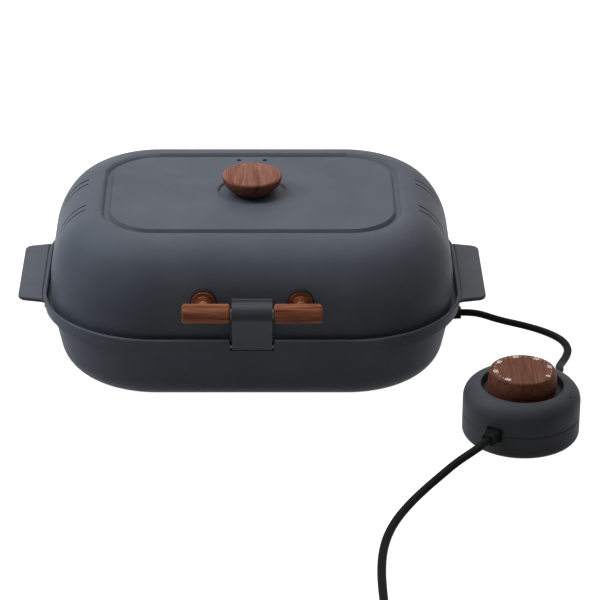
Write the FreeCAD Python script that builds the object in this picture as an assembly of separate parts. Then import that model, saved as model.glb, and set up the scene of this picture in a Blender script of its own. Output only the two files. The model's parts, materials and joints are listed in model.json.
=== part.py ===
import FreeCAD, Part
import math
import os

# Electric sweet potato roaster: a hinged, domed lid over a heated pan, a latch at the front,
# and a round timer on the cord. Millimetres, +Z up, the front faces -Y. Every size is drawn from
# the middle of the pan, on the surface that the feet stand on; the finished pieces are then moved so
# that the origin is under the middle of the roaster's outline, from the latch to the hinges.

Vector = FreeCAD.Vector
X_AXIS = Vector(1, 0, 0)
Y_AXIS = Vector(0, 1, 0)
Z_AXIS = Vector(0, 0, 1)

# General fits
SKIN_GAP = 0.3
SLIDE_GAP = 0.05
CUT_MARGIN = 1.0

# Outline: the rim's, and how far the other pieces stand in from it
RIM_HALF_X = 174.0
RIM_HALF_Y = 134.5
RIM_CORNER = 95.5
PAN_INSET_X = 8.0
PAN_INSET_Y = 3.0
PAN_INSET_CORNER = 7.5
LID_INSET_X = 7.0
LID_INSET_Y = 6.5
PLATE_INSET = 11.5

# Feet and lower pan
FOOT_HEIGHT = 5.0
FOOT_RADIUS = 7.5
FOOT_TAPER = 1.0
FOOT_STEM_RADIUS = 2.4
FOOT_STEM_LIP = 1.5
FOOT_X = 105.0
FOOT_Y = 75.0
PAN_HALF_X = RIM_HALF_X - PAN_INSET_X
PAN_HALF_Y = RIM_HALF_Y - PAN_INSET_Y
PAN_CORNER = RIM_CORNER - PAN_INSET_CORNER
PAN_TOP_Z = 56.5
PAN_DRAFT_DEG = 12.0
PAN_BOTTOM_RADIUS = 26.0
PAN_WALL = 2.5

# Rim frame with its side handles
RIM_TOP_Z = 67.0
RIM_BAND_DRAFT = 1.2
RIM_BEAD_WIDTH = 3.2
RIM_BEAD_RADIUS = 1.5
RIM_LEDGE_WIDTH = 11.8
RIM_LEDGE_THICKNESS = 3.5
HANDLE_REACH = 21.0
HANDLE_TIP_X = RIM_HALF_X + HANDLE_REACH
HANDLE_TIP_HALF = 50.3
HANDLE_ROOT_HALF = 55.5
HANDLE_ROOT_SPREAD = 17.0
HANDLE_TOP_Z = 66.0
HANDLE_THICKNESS = 3.8
HANDLE_TIP_RADIUS = 8.0
HANDLE_ROOT_RADIUS = 9.0
HANDLE_EDGE_RADIUS = 1.4
HANDLE_GROOVE_WIDTH = 1.3
HANDLE_GROOVE_DEPTH = 1.2

# Rim screws, under the handles
LUG_INSET = 4.2
LUG_X = RIM_HALF_X - LUG_INSET
LUG_Y = 38.0
LUG_WIDTH = 12.0
LUG_HEIGHT = 4.0
LUG_REACH = 3.6
SCREW_RADIUS = 1.5
SCREW_HEAD_RADIUS = 2.8
SCREW_HEAD_HEIGHT = 1.8
SCREW_BITE = 3.0

# Lid dome
LID_HALF_X = RIM_HALF_X - LID_INSET_X
LID_HALF_Y = RIM_HALF_Y - LID_INSET_Y
LID_CORNER = RIM_CORNER - LID_INSET_X
LID_WALL = 2.0
LID_BOTTOM_Z = 62.6
LID_TOP_Z = 138.6
DOME_RISE = 55.0
DOME_INSET = 44.0
SHOULDER_RADIUS = 38.0

# Channel and panel pressed into the top of the lid
CHANNEL_INSET_X = 42.2
CHANNEL_INSET_Y = 45.5
CHANNEL_INSET_CORNER = 42.5
CHANNEL_HALF_X = LID_HALF_X - CHANNEL_INSET_X
CHANNEL_HALF_Y = LID_HALF_Y - CHANNEL_INSET_Y
CHANNEL_CORNER = LID_CORNER - CHANNEL_INSET_CORNER
CHANNEL_DEPTH = 3.2
CHANNEL_SLOPE = 2.3
CHANNEL_FLOOR = 3.4
PANEL_RISE = 3.0
PANEL_SLOPE = 2.4

# Vent slots on both shoulders of the lid
VENT_WIDTH = 1.8
VENT_PAIR_PITCH = 9.6
VENT_PAIR_Y = (28.6, -24.8)
VENT_INSET_INNER = 29.0
VENT_INSET_OUTER = 8.0
VENT_INNER_X = LID_HALF_X - VENT_INSET_INNER
VENT_OUTER_X = LID_HALF_X - VENT_INSET_OUTER
VENT_CUT_DROP = 30.5

# Knob on the lid
KNOB_Y = 4.0
KNOB_RADIUS = 25.0
KNOB_FOOT_RADIUS = 19.5
KNOB_SIDE_BOW = 1.1
KNOB_HEIGHT = 14.0
KNOB_CROWN = 1.6
KNOB_FLAT = 3.0
KNOB_EDGE_RADIUS = 2.0
DISH_RADIUS = 29.0
DISH_SLOPE = 1.5
DISH_DEPTH = 1.6
NECK_RADIUS = 15.0
NECK_HEIGHT = 4.2
KNOB_SCREW_DEPTH = 5.0
SMALL_VENT_X = 11.0
SMALL_VENT_Y = 68.0
SMALL_VENT_RADIUS = 2.0

# Bar handle on the front of the lid
BAR_STAND = 13.5
BAR_Y = -(RIM_HALF_Y + BAR_STAND)
BAR_Z = 98.0
BAR_RADIUS = 7.9
BAR_HALF_LENGTH = 56.2
BAR_CHAMFER = 1.6
BAR_GAP_HALF = 17.5
ROD_RADIUS = 4.0
ROD_HIDDEN = 30.0
POST_X = 39.1
POST_FOOT_RADIUS = 9.7
POST_STEPS = ((9.7, 2.6), (6.3, 1.6), (5.1, 1.4))
POST_NECK_RADIUS = 4.0
POST_SINK = 2.5
POST_SCREW_RADIUS = 1.8
WASHER_RADIUS = 10.6
WASHER_THICKNESS = 0.8

# Latch at the front
LATCH_WIDTH = 32.4
LATCH_PIN_INSET = 2.7
LATCH_PIN_Y = -(RIM_HALF_Y - LATCH_PIN_INSET)
LATCH_PIN_Z = 60.5
LATCH_PIN_RADIUS = 1.2
LATCH_PIN_GRIP = 7.0
LATCH_BARREL_RADIUS = 2.8
LATCH_HOOK_RADIUS = 8.0
LATCH_PLATE = 2.8
LATCH_SWING_GAP = 0.5
LATCH_LIP_RISE = 1.4
LATCH_LIP_THICKNESS = 2.4
NOTCH_SIDE_GAP = 1.8
NOTCH_ROUND = 2.0
NOTCH_BACK_GAP = 0.4

# Hinge at the rear
HINGE_STAND = 5.0
HINGE_Y = RIM_HALF_Y + HINGE_STAND
HINGE_Z = 71.0
HINGE_X = 62.0
HINGE_PIN_RADIUS = 2.0
HINGE_BARREL_RADIUS = 4.4
HINGE_LID_WIDTH = 16.0
HINGE_BASE_WIDTH = 7.0
HINGE_SIDE_GAP = 0.4
HINGE_PLATE = 2.0
HINGE_LEAF_HEIGHT = 13.0
HINGE_ARM_LIFT = 3.0
HINGE_SCREW_RADIUS = 1.4

# Roasting plates: two long hollows in each
PLATE_CORNER = RIM_CORNER - PLATE_INSET
PLATE_THICKNESS = 2.5
PLATE_GAP = 2.5
HOLLOW_INSET_X = 24.0
HOLLOW_INSET_Y = 20.5
HOLLOW_GAP_HALF = 7.0
HOLLOW_SPAN = 2 * (RIM_HALF_X - HOLLOW_INSET_X)
HOLLOW_Y = (RIM_HALF_Y - HOLLOW_INSET_Y) / 2
HOLLOW_RADIUS = HOLLOW_Y - HOLLOW_GAP_HALF
HOLLOW_AXIS_RISE = 20.0
HOLLOW_AXIS_DROP = 16.0
HOLLOW_WALL = 2.5

# Heating: elements, reflectors, thermostat and fuse
HEATER_RADIUS = 3.5
HEATER_GAP = 0.1
HEATER_INSET_X = 32.0
HEATER_INSET_Y = 23.0
HEATER_HALF_X = RIM_HALF_X - HEATER_INSET_X
HEATER_HALF_Y = RIM_HALF_Y - HEATER_INSET_Y
HEATER_BEND = 60.0
HEATER_OPEN_HALF = 32.0
HEATER_LEG = 13.0
TRAY_INSET_X = 70.0
TRAY_INSET_Y = 42.5
TRAY_HALF_X = RIM_HALF_X - TRAY_INSET_X
TRAY_HALF_Y = RIM_HALF_Y - TRAY_INSET_Y
TRAY_CORNER = 46.0
TRAY_SHEET = 0.8
TRAY_WALL = 9.0
TRAY_FLARE = 8.0
TRAY_LEG_RADIUS = 3.0
TRAY_LEG_HEIGHT = 6.0
TRAY_LEG_X = 80.0
TRAY_LEG_Y = 50.0
THERMOSTAT_RADIUS = 8.0
THERMOSTAT_HEIGHT = 8.0
FUSE_RADIUS = 3.0
FUSE_LENGTH = 24.0
FUSE_X = 40.0
UPPER_TRAY_Z = 118.0

# Ring that carries the upper plate inside the lid
RING_HEIGHT = 12.0
RING_SHEET = 1.6
RING_LEDGE = 9.0
RING_SCREW_INSET = 5.4

# Terminal block and inner leads of the base
BLOCK_SIZE = (18.0, 24.0, 12.0)
BLOCK_INSET = 55.0
BLOCK_X = RIM_HALF_X - BLOCK_INSET
LEAD_RADIUS = 1.6
LEAD_SPREAD = 3.6

# Cord and its glands
CORD_DIAMETER = 6.8
CORD_FLOOR_Z = 3.5
CORD_LEAD = 10.0
BASE_GLAND_Y = 14.0
BASE_GLAND_Z = 19.5
BASE_GLAND_REACH = 20.0
GLAND_WIDTH = 11.0
GLAND_HEIGHT = 9.0
GLAND_TIP_WIDTH = 8.6
GLAND_TIP_HEIGHT = 7.6
GLAND_FLANGE = 1.6
GLAND_FLANGE_LAP = 1.0
GLAND_INNER = 5.0

# Timer puck
PUCK_STAND = 41.7
PUCK_X = RIM_HALF_X + PUCK_STAND
PUCK_Y = -170.0
PUCK_RADIUS = 47.0
PUCK_FOOT_HEIGHT = 2.0
PUCK_FOOT_RADIUS = 5.0
PUCK_FOOT_RING = 33.0
PUCK_BOTTOM_RADIUS = 6.0
PUCK_SEAM_Z = 22.0
PUCK_SEAM_GROOVE = 0.7
PUCK_TOP_Z = 47.0
PUCK_SHOULDER = 12.5
PUCK_WALL = 2.5
RECESS_RADIUS = 32.7
RECESS_DEPTH = 8.0
RECESS_LIP = 1.0
INDEX_ANGLE = -28.0
INDEX_RING = 41.5
INDEX_RADIUS = 1.3
INDEX_DEPTH = 1.2
MAINS_GLAND_ANGLE = 239.0
HEATER_GLAND_ANGLE = 61.0
PUCK_GLAND_Z = 23.0
PUCK_GLAND_REACH = 13.0
DIAL_RADIUS = 27.7
DIAL_TOP_RADIUS = 26.4
DIAL_EDGE_RADIUS = 1.8
DIAL_TOP_Z = 59.6
DIAL_FLOOR_GAP = 1.2
DIAL_HUB_RADIUS = 9.0
DIAL_HUB_DEPTH = 8.0
SHAFT_RADIUS = 3.0
TIMER_SIZE = (46.0, 40.0, 17.0)
TIMER_TAB_X = 14.0
TIMER_TAB_HALF = 3.0
TIMER_TAB_DROP = 5.0
TIMER_TAB_SHEET = 0.8
PUCK_SCREW_RING = 38.0
PUCK_SCREW_ANGLES = (20.0, 110.0, 200.0, 290.0)
PUCK_POST_RADIUS = 3.6
PUCK_SCREW_LENGTH = 26.0
PUCK_BLOCK_SIZE = (32.0, 16.0, 9.0)
SHAFT_FLAT = 0.8
SHAFT_INSIDE = 10.0
DIAL_BORE_GAP = 0.1

# Plug and its blades
PLUG_WIDTH = 22.0
PLUG_LENGTH = 26.0
PLUG_HEIGHT = 15.0
PLUG_NECK = 22.0
PLUG_ROUND = 3.5
BLADE_PITCH = 12.7
BLADE_LENGTH = 17.5
BLADE_WIDTH = 6.3
BLADE_SHEET = 1.5
BLADE_BITE = 6.0

# Coil of the put-away cord
COIL_HALVES = 5
COIL_OUTER = 47.0
COIL_LEAD = 29.2
COIL_PITCH = 7.6
COIL_LAYER = 7.6
COIL_SAMPLE = 3.0
TIE_SHEET = 0.8
TIE_GAP = 0.2
TIE_WIDTH = 9.0
TAIL_REACH = 100.0
TAIL_SHIFT = 8.0
TAIL_BOW = 0.6

# Routes of the two free cords, by hand, with x from the rim's right end: roaster to timer, then
# timer to the coil
HEATER_ROUTE = (
    (25.2, 13.9, 17.1),
    (34.7, 14.6, 13.3),
    (45.7, 16.0, 9.5),
    (59.2, 15.9, 6.3),
    (73.6, 10.8, 4.3),
    (85.4, 0.7, 3.8),
    (92.6, -12.9, 4.3),
    (94.2, -28.3, 4.8),
    (90.3, -44.9, 6.3),
    (84.9, -61.7, 9.3),
    (81.1, -78.4, 14.6),
    (80.0, -95.6, 20.7),
)
MAINS_ROUTE = (
    (-3.2, -239.3, 21.8),
    (-15.3, -248.7, 18.2),
    (-27.9, -259.9, 12.8),
    (-40.9, -273.5, 8.4),
    (-53.4, -290.5, 5.2),
    (-64.1, -311.0, 3.7),
    (-72.0, -334.7, CORD_FLOOR_Z),
    (-76.7, -360.8, CORD_FLOOR_Z),
    (-78.6, -388.5, CORD_FLOOR_Z),
    (-78.6, -417.2, CORD_FLOOR_Z),
    (-77.7, -446.5, 3.8),
)
COIL_INSET = 124.0
COIL_X = RIM_HALF_X - COIL_INSET
COIL_Y = -512.0


# Profiles and turned forms

def section(*steps):
    """Closed face in the XZ plane. A step (u, z) is a corner; (u, z, mu, mz) comes by an arc through (mu, mz)."""
    edges = []
    here = Vector(steps[0][0], 0, steps[0][1])
    for step in steps[1:] + (steps[0][:2],):
        there = Vector(step[0], 0, step[1])
        if len(step) == 4:
            edges.append(Part.Arc(here, Vector(step[2], 0, step[3]), there).toShape())
        elif there.distanceToPoint(here) > 1e-6:
            edges.append(Part.LineSegment(here, there).toShape())
        here = there
    return Part.Face(Part.Wire(edges))


def on_arc(centre_u, centre_z, radius, degrees):
    """Point of a circle in the profile plane."""
    angle = math.radians(degrees)
    return (centre_u + radius * math.cos(angle), centre_z + radius * math.sin(angle))


def fuse(shapes):
    """One solid from several, with flush faces joined."""
    joined = shapes[0]
    if len(shapes) > 1:
        joined = shapes[0].multiFuse(shapes[1:])
    return joined.removeSplitter()


def carry_round(profile, half_x, half_y, corner, core=None):
    """Carry a profile, drawn outwards from the corner axes, round a rounded rectangle."""
    axis_x = half_x - corner
    axis_y = half_y - corner
    places = ((1, 1), (-1, 1), (-1, -1), (1, -1))
    pieces = []
    for quarter, (side_x, side_y) in enumerate(places):
        centre = Vector(side_x * axis_x, side_y * axis_y, 0)
        turned = profile.copy()
        turned.rotate(Vector(), Z_AXIS, 90 * quarter)
        turned.translate(centre)
        pieces.append(turned.revolve(centre, Z_AXIS, 90))
        before_x, before_y = places[quarter - 1]
        run = profile.copy()
        run.rotate(Vector(), Z_AXIS, 90 * quarter)
        run.translate(Vector(before_x * axis_x, before_y * axis_y, 0))
        pieces.append(run.extrude(centre - Vector(before_x * axis_x, before_y * axis_y, 0)))
    if core is not None:
        low, high = core
        pieces.append(Part.makeBox(2 * axis_x, 2 * axis_y, high - low, Vector(-axis_x, -axis_y, low)))
    return fuse(pieces)


def slab(half_x, half_y, corner, low, high):
    """Upright block with a rounded-rectangle outline."""
    profile = section((0, low), (corner, low), (corner, high), (0, high))
    return carry_round(profile, half_x, half_y, corner, (low, high))


def turned(centre, *steps):
    """Body of revolution about a vertical axis."""
    body = section(*steps).revolve(Vector(), Z_AXIS, 360)
    body.translate(Vector(*centre))
    return body


def rod(start, direction, length, radius):
    """Plain round bar."""
    return Part.makeCylinder(radius, length, Vector(*start), direction)


def block(low, high):
    """Box between two corners."""
    return Part.makeBox(high[0] - low[0], high[1] - low[1], high[2] - low[2], Vector(*low))


def prism_x(points, start_x, width):
    """Prism along X from (y, z) points."""
    corners = [Vector(start_x, y, z) for y, z in points]
    face = Part.Face(Part.makePolygon(corners + corners[:1]))
    return face.extrude(X_AXIS * width)


def rounded_outline(corners, low):
    """Flat face from (x, y, radius) corners, each rounded by a tangent arc."""
    edges = []
    count = len(corners)
    trims = []
    for index, (x, y, radius) in enumerate(corners):
        here = Vector(x, y, low)
        back = Vector(corners[index - 1][0], corners[index - 1][1], low) - here
        ahead = Vector(corners[(index + 1) % count][0], corners[(index + 1) % count][1], low) - here
        back.normalize()
        ahead.normalize()
        half = back.getAngle(ahead) / 2
        reach = radius / math.tan(half)
        middle = back + ahead
        middle.normalize()
        deep = radius / math.sin(half) - radius
        trims.append((here + back * reach, here + middle * deep, here + ahead * reach, radius))
    for index, (enter, top, leave, radius) in enumerate(trims):
        if radius > 0:
            edges.append(Part.Arc(enter, top, leave).toShape())
        following = trims[(index + 1) % count][0]
        edges.append(Part.LineSegment(leave, following).toShape())
    return Part.Face(Part.Wire(edges))


def mirror_x(shape):
    """The same shape on the other side of the middle plane."""
    return shape.mirror(Vector(), X_AXIS)


# Bent tubes

def bend_radius(before, corner, after, share=0.45):
    """Radius of the arc that rounds one corner of a route."""
    run_in = before.distanceToPoint(corner)
    run_out = corner.distanceToPoint(after)
    turn = math.pi - (before - corner).getAngle(after - corner)
    return share * min(run_in, run_out) / math.tan(turn / 2)


def routed_wire(points, radius=None):
    """Straight runs joined by tangent arcs, and the arcs' radii."""
    edges = []
    radii = []
    here = points[0]
    for before, corner, after in zip(points, points[1:], points[2:]):
        bend = radius or bend_radius(before, corner, after)
        back = before - corner
        ahead = after - corner
        half = back.getAngle(ahead) / 2
        back.normalize()
        ahead.normalize()
        reach = bend / math.tan(half)
        middle = back + ahead
        middle.normalize()
        deep = bend / math.sin(half) - bend
        enter = corner + back * reach
        leave = corner + ahead * reach
        edges.append(Part.LineSegment(here, enter).toShape())
        edges.append(Part.Arc(enter, corner + middle * deep, leave).toShape())
        radii.append(bend)
        here = leave
    edges.append(Part.LineSegment(here, points[-1]).toShape())
    return Part.Wire(edges), radii


def tube_along(wire, radius):
    """Round tube that follows a wire."""
    first = wire.Edges[0]
    start = first.valueAt(first.FirstParameter)
    heading = first.tangentAt(first.FirstParameter)
    ring = Part.Wire(Part.makeCircle(radius, start, heading))
    return wire.makePipeShell([ring], True, False)


# Lower pan

def pan_side(offset):
    """Wall top, wall foot, middle and end of the bottom rounding, for a wall moved in by an offset."""
    draft = math.radians(PAN_DRAFT_DEG)
    reach = PAN_CORNER * math.cos(draft) - PAN_TOP_Z * math.sin(draft) - offset
    radius = PAN_BOTTOM_RADIUS - offset
    centre_z = FOOT_HEIGHT + PAN_BOTTOM_RADIUS
    centre_u = (reach - radius + centre_z * math.sin(draft)) / math.cos(draft)
    top = ((reach + PAN_TOP_Z * math.sin(draft)) / math.cos(draft), PAN_TOP_Z)
    foot = on_arc(centre_u, centre_z, radius, -PAN_DRAFT_DEG)
    middle = on_arc(centre_u, centre_z, radius, -(90 + PAN_DRAFT_DEG) / 2)
    return top, foot, middle, (centre_u, centre_z - radius)


def pan_shell():
    """Deep pan with sloping sides and a well-rounded bottom."""
    top, foot, middle, flat = pan_side(0)
    top_in, foot_in, middle_in, flat_in = pan_side(PAN_WALL)
    profile = section(
        (0, flat[1]), flat, foot + middle, top,
        top_in, foot_in, flat_in + middle_in, (0, flat_in[1]),
    )
    return carry_round(profile, PAN_HALF_X, PAN_HALF_Y, PAN_CORNER, (flat[1], flat_in[1]))


def corners_of(x, y):
    """The four places that mirror one place."""
    return ((x, y), (-x, y), (-x, -y), (x, -y))


def rim_lug(x, y):
    """Ear on the pan's top edge that takes one rim screw."""
    side = math.copysign(1, x)
    outer = side * (LUG_X + LUG_REACH)
    inner = side * (PAN_HALF_X - PAN_WALL)
    low = (min(inner, outer), y - LUG_WIDTH / 2, PAN_TOP_Z - LUG_HEIGHT)
    high = (max(inner, outer), y + LUG_WIDTH / 2, PAN_TOP_Z)
    return block(low, high)


def base_pan():
    """Lower casing with its legs for the tray, screw ears and cord opening."""
    floor = FOOT_HEIGHT + PAN_WALL
    solids = [pan_shell()]
    for x, y in corners_of(LUG_X, LUG_Y):
        solids.append(rim_lug(x, y))
    for x, y in corners_of(TRAY_LEG_X, TRAY_LEG_Y):
        solids.append(rod((x, y, floor - PAN_WALL / 2), Z_AXIS, TRAY_LEG_HEIGHT + PAN_WALL / 2, TRAY_LEG_RADIUS))
    pan = fuse(solids)
    for x, y in corners_of(LUG_X, LUG_Y):
        pan = pan.cut(rod((x, y, PAN_TOP_Z - LUG_HEIGHT - CUT_MARGIN), Z_AXIS, LUG_HEIGHT + 2 * CUT_MARGIN,
                          SCREW_RADIUS + SLIDE_GAP))
    for x, y in corners_of(FOOT_X, FOOT_Y):
        pan = pan.cut(rod((x, y, 0), Z_AXIS, floor + CUT_MARGIN, FOOT_STEM_RADIUS + SLIDE_GAP))
    opening = block(
        (PAN_HALF_X - PAN_BOTTOM_RADIUS, BASE_GLAND_Y - GLAND_WIDTH / 2 - SLIDE_GAP,
         BASE_GLAND_Z - GLAND_HEIGHT / 2 - SLIDE_GAP),
        (PAN_HALF_X, BASE_GLAND_Y + GLAND_WIDTH / 2 + SLIDE_GAP, BASE_GLAND_Z + GLAND_HEIGHT / 2 + SLIDE_GAP),
    )
    return pan.cut(opening)


def pan_wall_x(z):
    """Outer face of the pan's flat end at a height."""
    draft = math.radians(PAN_DRAFT_DEG)
    centre_z = FOOT_HEIGHT + PAN_BOTTOM_RADIUS
    _, foot, _, flat = pan_side(0)
    if z >= foot[1]:
        reach = foot[0] + (z - foot[1]) * math.tan(draft)
    else:
        reach = flat[0] + math.sqrt(PAN_BOTTOM_RADIUS ** 2 - (centre_z - z) ** 2)
    return PAN_HALF_X - PAN_CORNER + reach


def foot(x, y):
    """Rubber foot with a stem that snaps through the pan's floor."""
    floor = FOOT_HEIGHT + PAN_WALL
    lip = FOOT_STEM_RADIUS + 1.0
    return turned(
        (x, y, 0),
        (0, 0), (FOOT_RADIUS - FOOT_TAPER, 0), (FOOT_RADIUS, FOOT_HEIGHT), (FOOT_STEM_RADIUS, FOOT_HEIGHT),
        (FOOT_STEM_RADIUS, floor), (lip, floor), (FOOT_STEM_RADIUS, floor + FOOT_STEM_LIP),
        (0, floor + FOOT_STEM_LIP),
    )


def rim_screws():
    """Four screws from the pan's ears up into the rim."""
    solids = []
    for x, y in corners_of(LUG_X, LUG_Y):
        under = PAN_TOP_Z - LUG_HEIGHT
        head = rod((x, y, under - SCREW_HEAD_HEIGHT), Z_AXIS, SCREW_HEAD_HEIGHT, SCREW_HEAD_RADIUS)
        shank = rod((x, y, under), Z_AXIS, LUG_HEIGHT + SCREW_BITE, SCREW_RADIUS)
        solids.append(fuse([head, shank]))
    return Part.makeCompound(solids)


# Rim frame

def rim_section():
    """Band, rounded bead and inner ledge of the rim."""
    inner = RIM_CORNER - RIM_BEAD_WIDTH
    ledge = RIM_CORNER - RIM_BEAD_WIDTH - RIM_LEDGE_WIDTH
    radius = RIM_BEAD_RADIUS
    shoulder = RIM_TOP_Z - radius
    outer_mid = on_arc(RIM_CORNER - radius, shoulder, radius, 45)
    inner_mid = on_arc(inner + radius, shoulder, radius, 135)
    return section(
        (ledge, PAN_TOP_Z), (RIM_CORNER - RIM_BAND_DRAFT, PAN_TOP_Z), (RIM_CORNER, shoulder),
        (RIM_CORNER - radius, RIM_TOP_Z) + outer_mid, (inner + radius, RIM_TOP_Z),
        (inner, shoulder) + inner_mid, (inner, PAN_TOP_Z + RIM_LEDGE_THICKNESS),
        (ledge, PAN_TOP_Z + RIM_LEDGE_THICKNESS),
    )


def handle_groove():
    """Narrow groove between the rim's bead and both tabs."""
    low = HANDLE_TOP_Z - HANDLE_GROOVE_DEPTH
    high = RIM_TOP_Z + CUT_MARGIN
    width = HANDLE_GROOVE_WIDTH
    whole = slab(RIM_HALF_X + width, RIM_HALF_Y + width, RIM_CORNER + width, low, high)
    return whole.cut(slab(RIM_HALF_X, RIM_HALF_Y, RIM_CORNER, low - CUT_MARGIN, high + CUT_MARGIN))


def side_handle():
    """Flat lifting tab at the +X end, with softened edges."""
    root_x = RIM_HALF_X - RIM_BEAD_WIDTH / 2
    inner_x = root_x - HANDLE_ROOT_SPREAD / 2
    spread = HANDLE_ROOT_HALF + HANDLE_ROOT_SPREAD
    low = HANDLE_TOP_Z - HANDLE_THICKNESS
    outline = rounded_outline((
        (inner_x, -spread, 0), (root_x, -HANDLE_ROOT_HALF, HANDLE_ROOT_RADIUS),
        (HANDLE_TIP_X, -HANDLE_TIP_HALF, HANDLE_TIP_RADIUS), (HANDLE_TIP_X, HANDLE_TIP_HALF, HANDLE_TIP_RADIUS),
        (root_x, HANDLE_ROOT_HALF, HANDLE_ROOT_RADIUS), (inner_x, spread, 0),
    ), low)
    tab = outline.extrude(Z_AXIS * HANDLE_THICKNESS)
    edges = []
    for edge in tab.Edges:
        box = edge.BoundBox
        level = box.ZLength < 1e-6
        if level and box.XMax > root_x + HANDLE_EDGE_RADIUS:
            edges.append(edge)
    tab = tab.makeFillet(HANDLE_EDGE_RADIUS, edges)
    ledge = RIM_HALF_X - RIM_BEAD_WIDTH
    keep = block((ledge, -RIM_HALF_Y, 0), (HANDLE_TIP_X + CUT_MARGIN, RIM_HALF_Y, RIM_TOP_Z))
    inside = slab(RIM_HALF_X - RIM_BEAD_WIDTH, RIM_HALF_Y - RIM_BEAD_WIDTH, RIM_CORNER - RIM_BEAD_WIDTH,
                  low - CUT_MARGIN, RIM_TOP_Z + CUT_MARGIN)
    return tab.common(keep).cut(inside)


def notch_tool():
    """Cutter for the latch's notch, with rounded top corners."""
    half = LATCH_WIDTH / 2 + NOTCH_SIDE_GAP
    low = PAN_TOP_Z - CUT_MARGIN
    top = RIM_TOP_Z
    over = RIM_TOP_Z + CUT_MARGIN
    left_mid = on_arc(-half - NOTCH_ROUND, top - NOTCH_ROUND, NOTCH_ROUND, 45)
    right_mid = on_arc(half + NOTCH_ROUND, top - NOTCH_ROUND, NOTCH_ROUND, 135)
    face = section(
        (-half, low), (half, low), (half, top - NOTCH_ROUND), (half + NOTCH_ROUND, top) + right_mid,
        (half + NOTCH_ROUND, over), (-half - NOTCH_ROUND, over), (-half - NOTCH_ROUND, top),
        (-half, top - NOTCH_ROUND) + left_mid,
    )
    back = LATCH_PIN_Y + LATCH_BARREL_RADIUS + NOTCH_BACK_GAP
    tool = face.extrude(Y_AXIS * (RIM_HALF_Y + CUT_MARGIN + back))
    tool.translate(Vector(0, -RIM_HALF_Y - CUT_MARGIN, 0))
    return tool


def rim_frame():
    """Rim band with its bead, plate ledge, two lifting tabs and the latch's notch and ears."""
    ring = carry_round(rim_section(), RIM_HALF_X, RIM_HALF_Y, RIM_CORNER)
    handle = side_handle()
    half = LATCH_WIDTH / 2 + NOTCH_SIDE_GAP
    back = LATCH_PIN_Y + LATCH_BARREL_RADIUS + NOTCH_BACK_GAP
    top = LATCH_PIN_Z + LATCH_BARREL_RADIUS + SKIN_GAP
    solids = [ring, handle, mirror_x(handle)]
    for side in (-1, 1):
        near = side * (half - CUT_MARGIN)
        far = side * (half + LATCH_PIN_GRIP + CUT_MARGIN)
        solids.append(block((min(near, far), -RIM_HALF_Y + RIM_BEAD_WIDTH / 2, PAN_TOP_Z),
                            (max(near, far), back, top)))
    frame = fuse(solids).cut([notch_tool(), handle_groove()])
    reach = half + LATCH_PIN_GRIP + SLIDE_GAP
    frame = frame.cut(rod((-reach, LATCH_PIN_Y, LATCH_PIN_Z), X_AXIS, 2 * reach, LATCH_PIN_RADIUS + SLIDE_GAP))
    for x, y in corners_of(LUG_X, LUG_Y):
        frame = frame.cut(rod((x, y, PAN_TOP_Z - CUT_MARGIN), Z_AXIS, SCREW_BITE + CUT_MARGIN + SLIDE_GAP,
                              SCREW_RADIUS + SLIDE_GAP))
    for x in (HINGE_X, -HINGE_X):
        for shift in hinge_screw_shifts():
            frame = frame.cut(rod((x + shift, RIM_HALF_Y - RIM_BEAD_WIDTH - RIM_LEDGE_WIDTH / 2, hinge_screw_z()),
                                  Y_AXIS, RIM_LEDGE_WIDTH, HINGE_SCREW_RADIUS + SLIDE_GAP))
    return frame


# Lid

def dome_side(offset):
    """Points of the dome's side, moved in by a wall: wall top, knee, crest and the arcs' middles."""
    spring_z = LID_TOP_Z - DOME_RISE
    upper = SHOULDER_RADIUS
    lower = (DOME_INSET ** 2 + (DOME_RISE - upper) ** 2 - upper ** 2) / (2 * (DOME_INSET - upper))
    lower_u = LID_CORNER - lower
    upper_u = LID_CORNER - DOME_INSET
    upper_z = LID_TOP_Z - upper
    knee_angle = math.degrees(math.atan2(upper_z - spring_z, upper_u - lower_u))
    wall = (LID_CORNER - offset, spring_z)
    lower_mid = on_arc(lower_u, spring_z, lower - offset, knee_angle / 2)
    knee = on_arc(lower_u, spring_z, lower - offset, knee_angle)
    upper_mid = on_arc(upper_u, upper_z, upper - offset, (knee_angle + 90) / 2)
    crest = (upper_u, LID_TOP_Z - offset)
    return wall, lower_mid, knee, upper_mid, crest


def lid_dome():
    """Hollow dome before the top is pressed and pierced."""
    wall, lower_mid, knee, upper_mid, crest = dome_side(0)
    wall_in, lower_in, knee_in, upper_in, crest_in = dome_side(LID_WALL)
    profile = section(
        (0, LID_TOP_Z), crest, knee + upper_mid, wall + lower_mid, (wall[0], LID_BOTTOM_Z),
        (wall_in[0], LID_BOTTOM_Z), wall_in, knee_in + lower_in, crest_in + upper_in, (0, LID_TOP_Z - LID_WALL),
    )
    return carry_round(profile, LID_HALF_X, LID_HALF_Y, LID_CORNER, (LID_TOP_Z - LID_WALL, LID_TOP_Z))


def dome_depth_y(z):
    """How far the front of the dome stands from the middle at a height above the straight wall."""
    wall, _, knee, _, _ = dome_side(0)
    lower = (DOME_INSET ** 2 + (DOME_RISE - SHOULDER_RADIUS) ** 2 - SHOULDER_RADIUS ** 2) / (
        2 * (DOME_INSET - SHOULDER_RADIUS))
    rise = max(z - wall[1], 0)
    return LID_HALF_Y - lower + math.sqrt(lower ** 2 - rise ** 2)


def panel_z():
    """Level of the flat panel inside the channel."""
    return LID_TOP_Z - CHANNEL_DEPTH + PANEL_RISE


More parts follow.
